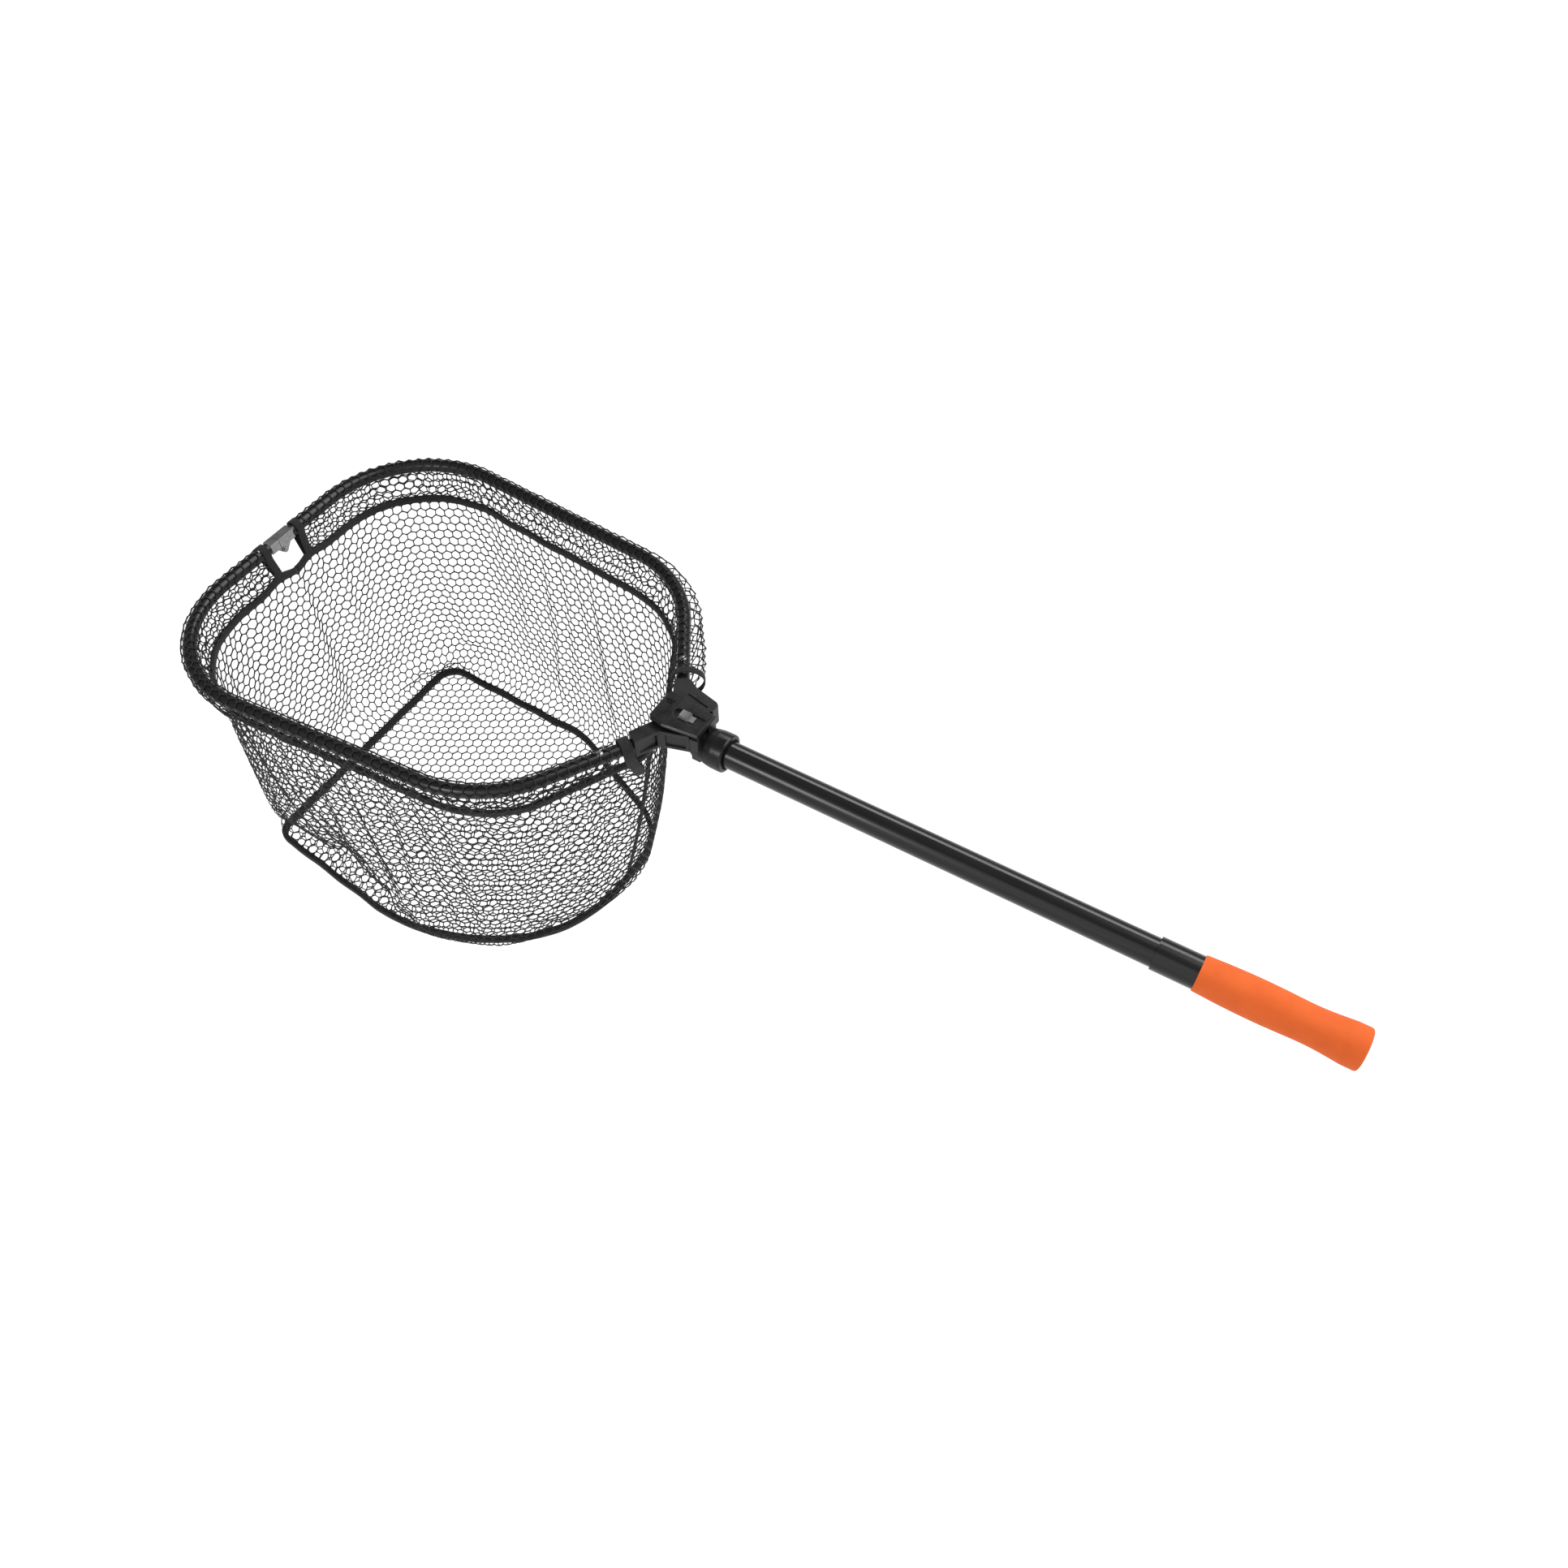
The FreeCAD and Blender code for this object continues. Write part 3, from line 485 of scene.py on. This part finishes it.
def steel(name, shade, rough):
    """Dull plated steel sheet with faint brushed lines and small scuffs."""
    made, nodes, links, principled = shader(name)
    lines = texture(nodes, links, "ShaderNodeTexNoise", 2500.0, stretch=(1, 0.05, 1), Detail=4.0)
    links.new(ramp(nodes, links, lines.outputs["Fac"], [(0.3, shade * 0.85), (0.7, shade)]),
              principled.inputs["Base Color"])
    scuff = texture(nodes, links, "ShaderNodeTexNoise", 240.0, Detail=6.0)
    links.new(ramp(nodes, links, scuff.outputs["Fac"], [(0.35, rough - 0.06), (0.7, rough + 0.14)]),
              principled.inputs["Roughness"])
    principled.inputs["Metallic"].default_value = 1.0
    bump(nodes, links, principled, lines.outputs["Fac"], 0.12, 0.0001, 0.00025)
    return made


def rubber(name):
    made, nodes, links, principled = shader(name)
    speck = texture(nodes, links, "ShaderNodeTexNoise", 3000.0, Detail=3.0)
    links.new(ramp(nodes, links, speck.outputs["Fac"], [(0.3, 0.008), (0.7, 0.016)]),
              principled.inputs["Base Color"])
    principled.inputs["Roughness"].default_value = 0.62
    bump(nodes, links, principled, speck.outputs["Fac"], 0.2, 0.0001)
    return made


def twine(name):
    """Twisted nylon twine: a tight slanting lay and a dull black dye."""
    made, nodes, links, principled = shader(name)
    lay = texture(nodes, links, "ShaderNodeTexWave", 1400.0, stretch=(1, 0.8, 1.3), Distortion=2.0,
                  Detail=1.0)
    links.new(ramp(nodes, links, lay.outputs["Fac"], [(0.2, 0.006), (0.8, 0.014)]),
              principled.inputs["Base Color"])
    principled.inputs["Roughness"].default_value = 0.6
    principled.inputs["Specular IOR Level"].default_value = 0.3
    bump(nodes, links, principled, lay.outputs["Fac"], 0.3, 0.0001)
    return made


def woven_tape(name):
    """Grosgrain tape: close crosswise ribs and warp threads between them."""
    made, nodes, links, principled = shader(name)
    ribs = texture(nodes, links, "ShaderNodeTexWave", 420.0, "UV", bands_direction="X", Distortion=0.6,
                   Detail=1.0)
    warp = texture(nodes, links, "ShaderNodeTexWave", 700.0, "UV", bands_direction="Y", Distortion=0.4)
    mix = nodes.new("ShaderNodeMath")
    mix.operation = "MULTIPLY_ADD"
    mix.inputs[1].default_value = 0.35
    links.new(warp.outputs["Fac"], mix.inputs[0])
    links.new(ribs.outputs["Fac"], mix.inputs[2])
    fuzz = texture(nodes, links, "ShaderNodeTexNoise", 500.0, Detail=4.0)
    links.new(ramp(nodes, links, fuzz.outputs["Fac"], [(0.3, 0.006), (0.7, 0.014)]),
              principled.inputs["Base Color"])
    principled.inputs["Roughness"].default_value = 0.82
    principled.inputs["Specular IOR Level"].default_value = 0.25
    principled.inputs["Sheen Weight"].default_value = 0.06
    bump(nodes, links, principled, mix.outputs[0], 0.5, 0.0003)
    return made


def floor_paint(name):
    """A white light table: most of its white is its own glow, so shadows on it stay faint."""
    made, nodes, links, principled = shader(name)
    cloud = texture(nodes, links, "ShaderNodeTexNoise", 2.0, Detail=2.0)
    links.new(ramp(nodes, links, cloud.outputs["Fac"], [(0.3, 0.24), (0.7, 0.25)]),
              principled.inputs["Base Color"])
    principled.inputs["Emission Color"].default_value = (1.0, 1.0, 1.0, 1)
    principled.inputs["Emission Strength"].default_value = 0.80
    principled.inputs["Roughness"].default_value = 0.9
    principled.inputs["Specular IOR Level"].default_value = 0.05
    return made


NETTING = twine("netting")
TAPE_CLOTH = woven_tape("tape")
TUBE_BLACK = anodised_tube("tube_black", (0.010, 0.010, 0.011), 0.26)
HOOP_BLACK = anodised_tube("hoop_black", (0.009, 0.009, 0.010), 0.38)
HUB_PLASTIC = moulded_plastic("hub_plastic", 0.004, 0.006, 0.30, 0.0008)
ARM_PLASTIC = moulded_plastic("arm_plastic", 0.006, 0.009, 0.36, 0.0008)
NOSE_PLASTIC = moulded_plastic("nose_plastic", 0.001, 0.002, 0.34, 0.0006)
SLIDER_PLASTIC = moulded_plastic("slider_plastic", 0.10, 0.13, 0.34, 0.0003)
INNER_PLASTIC = moulded_plastic("inner_plastic", 0.03, 0.04, 0.45, 0.0003)
SEAL_RUBBER = rubber("seal_rubber")
GRIP_FOAM = foam("grip_foam")
STEEL = steel("plated_steel", 0.36, 0.32)


def dress(material, *names):
    """Gives CAD nodes a material."""
    for name in names:
        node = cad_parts[name]
        if not node.material_slots:
            node.data.materials.append(material)
        for slot in node.material_slots:
            slot.material = material


def dress_cad():
    dress(TUBE_BLACK, "outer_tube", "shaft")
    dress(HOOP_BLACK, "left_tube", "right_tube")
    dress(GRIP_FOAM, "grip")
    dress(SEAL_RUBBER, "collar_seal")
    dress(HUB_PLASTIC, "hub_body", "hub_cover", "end_cap")
    dress(ARM_PLASTIC, "left_arm", "right_arm")
    dress(NOSE_PLASTIC, "hub_nose")
    dress(SLIDER_PLASTIC, "lock_slider")
    dress(INNER_PLASTIC, "mouth_bush", "cam_ring", "cam_core", "lock_bolt")
    dress(STEEL, "cam_screw", "cover_screws", "collar_screw", "fold_pin", "hinge_pin")
    for side in SIDES:
        dress(STEEL, side + "_leaf", side + "_leaf_rivet", side + "_arm_rivet")


# ---- netting ----
# Meshes across and down each piece of netting, and how its cloth is cut and let hang.
WALL_COLUMNS, WALL_ROWS = 132, 28
SKIRT_COLUMNS, SKIRT_ROWS = 62, 13
WALL_SLACK, WALL_FRAMES = 0.042, 36
SKIRT_SLACK, SKIRT_FRAMES = 0.05, 24
FLOOR_SLACK, FLOOR_FRAMES = 0.002, 16
GRID_U, GRID_V = 300, 46
SKIRT_GRID = (190, 26)
GATHER, PUCKER = 5.5, 1.5
WALL_JITTER, SKIRT_JITTER, FLOOR_JITTER = 0.00012, 0.0002, 0.18
JITTER_WAYS = [1, 8]


def wall_grid():
    """The wall from the upper tape down to the lower one, with gathers, as a closed grid."""
    u = np.arange(GRID_U) / GRID_U
    top = upper_ring(u, TAPE - 1.0)
    low = around(RING_2, u, RING_2_Z + 1.0)
    fold = smooth_noise(GRID_U, 22)
    fine = smooth_noise(GRID_U, 60)
    normal = outward(np.vstack([top, top[:1]]))[:-1]
    grid = np.zeros((GRID_U, GRID_V, 3))
    for j in range(GRID_V):
        t = j / (GRID_V - 1)
        bulge = math.sin(math.pi * t)
        depth = (fold * GATHER + fine * PUCKER * t) * bulge
        grid[:, j] = top * (1 - t) + low * t + normal * depth[:, None]
    return grid


def held_rows(shape, rows):
    """Pins for a grid of cloth that is held along some of its rows."""
    pins = np.zeros(shape)
    for row in rows:
        pins[:, row] = 1.0
    return pins


def half_by(edges, points, side):
    """Which strands have their middle on one side of the bag."""
    middle = (points[edges[:, 0], 1] + points[edges[:, 1], 1]) / 2
    return middle * SIDES[side] > 0 if side == "right" else middle <= 0


def make_walls():
    grid = wall_grid()
    pins = held_rows((GRID_U, GRID_V), [0, GRID_V - 1])
    grid = relaxed(grid, pins, WALL_SLACK, WALL_FRAMES, True)
    grid = np.concatenate([grid, grid[:1]])
    nodes, edges, rib = honeycomb(WALL_COLUMNS, WALL_ROWS, True)
    nodes = nodes + rng.normal(0, WALL_JITTER, nodes.shape) * JITTER_WAYS
    points = on_grid(grid, nodes[:, 0], nodes[:, 1])
    other = nodes[edges[:, 1]].copy()
    other[:, 0] += np.where(other[:, 0] < nodes[edges[:, 0], 0] - 0.5, 1.0, 0.0)
    half = (nodes[edges[:, 0]] + other) / 2
    middles = on_grid(grid, half[:, 0], half[:, 1])
    for side in SIDES:
        keep = half_by(edges, points, side)
        piece = strand_piece(side + "_net_wall", points, edges[keep], middles[keep], rib[keep], NETTING)
        finish_net(piece, "net_wall")


def finish_net(piece, node):
    """Bakes a half of the netting in place and hides the CAD node it replaces."""
    fold_with(piece)
    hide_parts(node)


SLEEVE_GAP = 1.3
SLEEVE_SWELL = 0.6
SLEEVE_LEG = 0.36
SKIRT_REAR_Y = 54.0
LOOSE = {"left": 1.5, "right": 13.0}


def share_at(corners, y, front=True):
    """The share u at which a half outline is y from the middle plane, on its front or rear run."""
    u = np.linspace(0.0, 0.3, 3001) if front else np.linspace(0.7, 1.0, 3001)
    plan = outline(corners["right"], u)
    return float(u[np.argmin(np.abs(plan[:, 1] - y))])


def skirt_grid(side, count_u, count_v):
    """Netting from the upper tape up outside the tube, over it and down inside, as an open grid."""
    start = share_at(HOOP, FRONT_LOOP_Y - 1.0)
    end = share_at(HOOP, SKIRT_REAR_Y, False)
    u = np.linspace(start, end, count_u)
    hoop = around(HOOP, u, HOOP_Z, side)
    ring = upper_ring(u, 0.0, side)
    normal = outward(hoop)
    loose = LOOSE[side] * np.clip((u - start) / (end - start) * 4.2 - 3.0, 0, 1)
    radius = TUBE_R + SLEEVE_GAP
    waves = smooth_noise(count_u, 26, False)
    swell = smooth_noise(count_u, 40, False)
    grid = np.zeros((count_u, count_v, 3))
    turn_out, turn_in = math.radians(-28), math.radians(208)
    for j in range(count_v):
        t = j / (count_v - 1)
        if SLEEVE_LEG < t < 1 - SLEEVE_LEG:
            turn = turn_out + (turn_in - turn_out) * (t - SLEEVE_LEG) / (1 - 2 * SLEEVE_LEG)
            grow = radius + SLEEVE_SWELL * np.abs(swell)[:, None]
            grid[:, j] = hoop + (normal * math.cos(turn) + Z * math.sin(turn)) * grow
            grid[:, j] += normal * (loose * max(math.cos(turn), 0.0))[:, None]
            continue
        outer = t <= SLEEVE_LEG
        share = t / SLEEVE_LEG if outer else (1 - t) / SLEEVE_LEG
        turn = turn_out if outer else turn_in
        top = hoop + (normal * math.cos(turn) + Z * math.sin(turn)) * radius
        top += normal * (loose * max(math.cos(turn), 0.0))[:, None]
        foot = ring + normal * (1.0 if outer else -1.0)
        bulge = math.sin(math.pi * share) * ((1.2 if outer else -1.5) + 1.2 * waves)
        grid[:, j] = foot + (top - foot) * share + normal * bulge[:, None]
    return grid


def make_skirts():
    count_u, count_v = SKIRT_GRID
    for side in SIDES:
        grid = skirt_grid(side, count_u, count_v)
        sleeve = [j for j in range(count_v) if SLEEVE_LEG <= j / (count_v - 1) <= 1 - SLEEVE_LEG]
        held = [0, count_v - 1] + sleeve
        grid = relaxed(grid, held_rows(SKIRT_GRID, held), SKIRT_SLACK, SKIRT_FRAMES, False)
        nodes, edges, rib = honeycomb(SKIRT_COLUMNS, SKIRT_ROWS, False)
        nodes = nodes + rng.normal(0, SKIRT_JITTER, nodes.shape) * JITTER_WAYS
        points = on_grid(grid, nodes[:, 0], nodes[:, 1])
        half = (nodes[edges[:, 0]] + nodes[edges[:, 1]]) / 2
        middles = on_grid(grid, half[:, 0], half[:, 1])
        piece = strand_piece(side + "_net_skirt", points, edges, middles, rib, NETTING)
        finish_net(piece, "net_skirt")


def inside(outline_points, points):
    """Which plan points lie inside a closed outline."""
    x, y = points[:, 0:1], points[:, 1:2]
    a, b = outline_points, np.roll(outline_points, -1, 0)
    crosses = (a[:, 1] > y) != (b[:, 1] > y)
    rise = np.where(a[:, 1] == b[:, 1], 1e-9, b[:, 1] - a[:, 1])
    reach = a[:, 0] + (y - a[:, 1]) * (b[:, 0] - a[:, 0]) / rise
    return (crosses & (x < reach)).sum(1) % 2 == 1


def make_floor():
    """The bag's floor: flat netting inside the lower tape, sagging a little."""
    u = np.arange(400) / 400
    edge = around(RING_2, u, 0.0)[:, :2]
    low, high = edge.min(0), edge.max(0)
    step = 6.0
    xs = np.arange(low[0] - step, high[0] + 2 * step, step)
    ys = np.arange(low[1] - step, high[1] + 2 * step, step)
    grid = np.zeros((len(xs), len(ys), 3))
    grid[..., 0], grid[..., 1] = np.meshgrid(xs, ys, indexing="ij")
    grid[..., 2] = RING_2_Z - TAPE / 2
    within = inside(edge, grid.reshape(-1, 3)[:, :2]).reshape(len(xs), len(ys))
    grid = relaxed(grid, (~within).astype(float), FLOOR_SLACK, FLOOR_FRAMES, False)
    side_length = MESH_PITCH / math.sqrt(3)
    columns = int((high[1] - low[1]) / MESH_PITCH) + 2
    rows = int((high[0] - low[0]) / (1.5 * side_length)) + 3
    nodes, edges, rib = honeycomb(columns, rows, False)
    across = low[1] - MESH_PITCH + nodes[:, 0] * columns * MESH_PITCH
    along = low[0] - side_length + nodes[:, 1] * (1.5 * (rows - 1) + 0.5) * side_length
    plan = np.column_stack([along, across]) + rng.normal(0, FLOOR_JITTER, (len(nodes), 2))
    kept = inside(edge, plan)
    span_u, span_v = xs[-1] - xs[0], ys[-1] - ys[0]

    def lifted(flat):
        return on_grid(grid, (flat[:, 0] - xs[0]) / span_u, (flat[:, 1] - ys[0]) / span_v)

    # A strand that crosses the outline is cut where it meets the tape.
    first, second = plan[edges[:, 0]].copy(), plan[edges[:, 1]].copy()
    crossing = kept[edges[:, 0]] != kept[edges[:, 1]]
    for a, b in ((first, second), (second, first)):
        out = crossing & ~inside(edge, b)
        lo, hi = np.zeros(len(a)), np.ones(len(a))
        for _ in range(8):
            middle = (lo + hi) / 2
            good = inside(edge, a + (b - a) * middle[:, None])
            lo, hi = np.where(good, middle, lo), np.where(good, hi, middle)
        b[out] = (a + (b - a) * lo[:, None])[out]
    whole = kept[edges[:, 0]] | kept[edges[:, 1]]
    first, second, rib = first[whole], second[whole], rib[whole]
    starts, ends, middles = lifted(first), lifted(second), lifted((first + second) / 2)
    points = np.concatenate([starts, ends])
    pairs = np.column_stack([np.arange(len(starts)), np.arange(len(starts)) + len(starts)])
    for side in SIDES:
        keep = half_by(pairs, points, side)
        piece = strand_piece(side + "_net_floor", points, pairs[keep], middles[keep], rib[keep], NETTING)
        finish_net(piece, "net_floor")


# ---- tapes and ribbon loops ----
def finish_tape(piece, node):
    """Bakes a piece of tape in place and hides the CAD node it replaces."""
    fold_with(piece)
    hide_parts(node)


def ring_tape(side, node, path, width, thick):
    """Half of a ring of tape along a path, standing on edge in the wall, a little wavy."""
    count = len(path)
    lift = smooth_noise(count, 14, False)
    fade = np.sin(np.pi * np.linspace(0.0, 1.0, count)) ** 0.5
    path = path + outward(path) * (lift * 0.5 * fade)[:, None]
    path[:, 2] += smooth_noise(count, 12, False) * 0.7 * fade
    width = width + 0.5 * smooth_noise(count, 40, False)
    piece = strip(side + "_" + node, path, np.tile(Z, (count, 1)), width, thick, TAPE_CLOTH)
    finish_tape(piece, node)


# Width and thickness of the cloth of each ring of tape.
UPPER_TAPE = (TAPE + 0.8, 3.6)
LOWER_TAPE = (TAPE + 1.6, 5.2)


def make_tapes():
    u = np.linspace(0.0, 1.0, 170)
    for side in SIDES:
        ring_tape(side, "upper_tape", upper_ring(u, TAPE / 2, side), *UPPER_TAPE)
        ring_tape(side, "lower_tape", around(RING_2, u, RING_2_Z - TAPE / 2, side), *LOWER_TAPE)


def make_rear_seam():
    """The tape over the wall's seam, down from the upper ring to the lower one."""
    count = 60
    t = np.linspace(0, 1, count)
    top = np.array([-39.5, 0.0, -42.0])
    low = np.array([-94.0, 0.0, RING_2_Z - TAPE / 2])
    path = top + (low - top) * t[:, None]
    path[:, 0] += np.sin(np.pi * t) * 3.0
    path[:, 1] += smooth_noise(count, 4, False) * 0.6 * np.sin(np.pi * t)
    across = np.tile([0.0, 1.0, 0.0], (count, 1))
    piece = strip("rear_seam_tape_cloth", path, across, TAPE, 1.2, TAPE_CLOTH)
    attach(piece, "hub")
    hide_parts("rear_seam_tape")


def loop_path(centre, outward_way, foot, radius, spread, count=64):
    """A ribbon's path from its foot up one side of a tube, over it, and down the other side."""
    start, end = math.radians(-35), math.radians(215)
    arc = [centre + (outward_way * math.cos(a) + Z * math.sin(a)) * radius
           for a in np.linspace(start, end, count // 2)]
    out_leg = [foot + outward_way * spread + (arc[0] - foot - outward_way * spread) * t
               for t in np.linspace(0, 1, count // 4, endpoint=False)]
    in_leg = [arc[-1] + (foot - outward_way * spread - arc[-1]) * t
              for t in np.linspace(0, 1, count // 4 + 1)[1:]]
    path = np.array(out_leg + arc + in_leg)
    for _ in range(6):
        path[1:-1] = (path[:-2] + 2 * path[1:-1] + path[2:]) / 4
    return path


REAR_LOOP_AT = {"left": 7.0, "right": 12.0}
REAR_LOOP_LEAN = 0.32
REAR_LOOP_WIDE = {"left": 10.0, "right": 6.6}


def smooth_path(points, count):
    """A smooth line of evenly spaced points through the neighbourhood of a few points."""
    far = np.concatenate([[0], np.cumsum(np.linalg.norm(np.diff(points, axis=0), axis=1))])
    at = np.linspace(0, far[-1], count)
    path = np.column_stack([np.interp(at, far, points[:, k]) for k in range(3)])
    for _ in range(8):
        path[1:-1] = (path[:-2] + 2 * path[1:-1] + path[2:]) / 4
    return path


def make_front_loops():
    for side, sign in SIDES.items():
        centre = np.array([HOOP[side][0][0], sign * FRONT_LOOP_Y, HOOP_Z])
        foot = np.array([RING_1[side][0][0], sign * (FRONT_LOOP_Y - 3.0), RING_1_Z - 1.0])
        path = loop_path(centre, np.array([-1.0, 0, 0]), foot, TUBE_R + 1.5, 1.6)
        across = np.tile([0.0, 1.0, 0.0], (len(path), 1))
        piece = strip(side + "_front_ribbon", path, across, 8.0, 1.1, TAPE_CLOTH)
        finish_tape(piece, side + "_front_loop")


def rear_loop_route(side):
    """A rear ribbon's route across the tube, as (outward, up) points from the arm's tip."""
    if side == "left":
        return [(-4.0, -44.0), (-7.5, -24.0), (-9.0, -4.0), (-9.2, 5.0), (-6.5, 7.6), (0.0, 8.8),
                (6.5, 7.6), (9.2, 4.0), (9.4, -6.0), (7.0, -22.0), (-1.0, -44.0)]
    return [(-13.0, -44.0), (-12.0, -24.0), (-11.5, -6.0), (-10.5, 3.0), (-6.6, 8.6), (2.0, 10.6),
            (11.0, 9.0), (18.5, 3.0), (20.5, -6.0), (16.0, -14.0), (7.0, -19.0), (-3.0, -27.0),
            (-11.0, -44.0)]


def make_rear_loops():
    for side, sign in SIDES.items():
        corner, rear = HOOP[side][-2:]
        tip = np.array([rear[0], sign * rear[1], HOOP_Z])
        along = unit(np.array([corner[0] - rear[0], sign * (corner[1] - rear[1]), 0.0]))
        way = sign * np.cross(along, Z)
        centre = tip + along * REAR_LOOP_AT[side]
        route = np.array([centre + way * out + Z * up - along * max(-up - 6.0, 0.0) * REAR_LOOP_LEAN
                          for out, up in rear_loop_route(side)])
        path = smooth_path(route, 90)
        across = np.tile(along, (len(path), 1))
        piece = strip(side + "_rear_ribbon", path, across, REAR_LOOP_WIDE[side], 1.2, TAPE_CLOTH)
        finish_tape(piece, side + "_rear_loop")


SPRING_START, SPRING_END, SPRING_Z = 4.4, 13.6, 16.4
SPRING_COIL_R = 1.9
SPRING_WIRE_R = 0.3
SPRING_TURNS = 5.33


def make_spring():
    """The lock's return spring, built at one length; the real one shortens as the bolt comes back."""
    count, sides = 170, 8
    turn = np.linspace(0.0, 2 * math.pi * SPRING_TURNS, count)
    x = np.linspace(SPRING_START + 2 * SPRING_WIRE_R, SPRING_END - 2 * SPRING_WIRE_R, count)
    centre = np.column_stack([x, np.zeros(count), np.full(count, SPRING_Z)])
    spoke = np.column_stack([np.zeros(count), np.sin(turn), np.cos(turn)])
    vertices = np.zeros((count, sides, 3))
    for k in range(sides):
        around_wire = 2 * math.pi * k / sides
        vertices[:, k] = centre + spoke * (SPRING_COIL_R + SPRING_WIRE_R * math.cos(around_wire))
        vertices[:, k, 0] += SPRING_WIRE_R * math.sin(around_wire)
    faces = [tuple(range(sides)), tuple((count - 1) * sides + k for k in reversed(range(sides)))]
    for i in range(count - 1):
        for k in range(sides):
            low, high, m = i * sides, (i + 1) * sides, (k + 1) % sides
            faces.append((low + k, high + k, high + m, low + m))
    piece = new_object("return_spring", placed(vertices.reshape(-1, 3)), faces, STEEL)
    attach(piece, "hub")
    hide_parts("lock_spring")
    anchor = placed([SPRING_END, 0.0, SPRING_Z])
    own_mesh(piece)


# ---- studio ----
FLOOR_Z = -0.62


def make_stage():
    mesh = bpy.data.meshes.new("floor")
    size = 14.0
    mesh.from_pydata([(-size, -size, FLOOR_Z), (size, -size, FLOOR_Z), (size, size, FLOOR_Z),
                      (-size, size, FLOOR_Z)], [], [(0, 1, 2, 3)])
    floor = bpy.data.objects.new("floor", mesh)
    mesh.materials.append(floor_paint("floor_paint"))
    bpy.context.scene.collection.objects.link(floor)


def make_world():
    world = bpy.data.worlds.new("studio")
    world.use_nodes = True
    background = world.node_tree.nodes["Background"]
    background.inputs["Color"].default_value = (1.0, 1.0, 1.0, 1)
    background.inputs["Strength"].default_value = 0.30
    bpy.context.scene.world = world


def lamp(name, kind, energy, place, aim, size=(1.0, 1.0), angle=30.0):
    data = bpy.data.lights.new(name, kind)
    data.energy = energy
    if kind == "AREA":
        data.shape = "RECTANGLE"
        data.size, data.size_y = size
    else:
        data.angle = math.radians(angle)
    made = bpy.data.objects.new(name, data)
    made.location = place
    made.rotation_euler = (Vector(aim) - Vector(place)).to_track_quat("-Z", "Y").to_euler()
    bpy.context.scene.collection.objects.link(made)


def make_lights():
    lamp("key_sun", "SUN", 2.1, (0.55, 0.70, 1.95), (-0.4, 0.0, 0.0), angle=45.0)
    lamp("fill_sun", "SUN", 1.1, (-0.1, -1.6, 0.75), (-0.4, 0.0, 0.0), angle=70.0)
    lamp("top_strip", "AREA", 15.0, (-0.3, 1.02, 0.92), (-0.35, 0.0, 0.0), size=(1.8, 0.3))
    lamp("hub_strip", "AREA", 3.0, (-0.85, -0.90, 0.55), (-0.55, 0.0, 0.0), size=(0.3, 0.3))


def make_camera():
    data = bpy.data.cameras.new("camera")
    data.sensor_width = 36.0
    data.lens = 29.79
    camera = bpy.data.objects.new("camera", data)
    azimuth, elevation, distance = math.radians(30.6), math.radians(52.1), 1.1174
    aim = Vector((-0.4919, -0.004, 0.0))
    back = Vector((math.sin(azimuth) * math.cos(elevation), -math.cos(azimuth) * math.cos(elevation),
                   math.sin(elevation)))
    camera.location = aim + back * distance
    camera.rotation_mode = "QUATERNION"
    camera.rotation_quaternion = (-back).to_track_quat("-Z", "Y")
    data.clip_start, data.clip_end = 0.01, 100.0
    bpy.context.scene.collection.objects.link(camera)
    bpy.context.scene.camera = camera
    bpy.context.scene.view_settings.view_transform = "Standard"


make_camera()
make_stage()
make_world()
make_lights()
dress_cad()
make_walls()
make_skirts()
make_floor()
make_tapes()
make_rear_seam()
make_front_loops()
make_rear_loops()
make_spring()
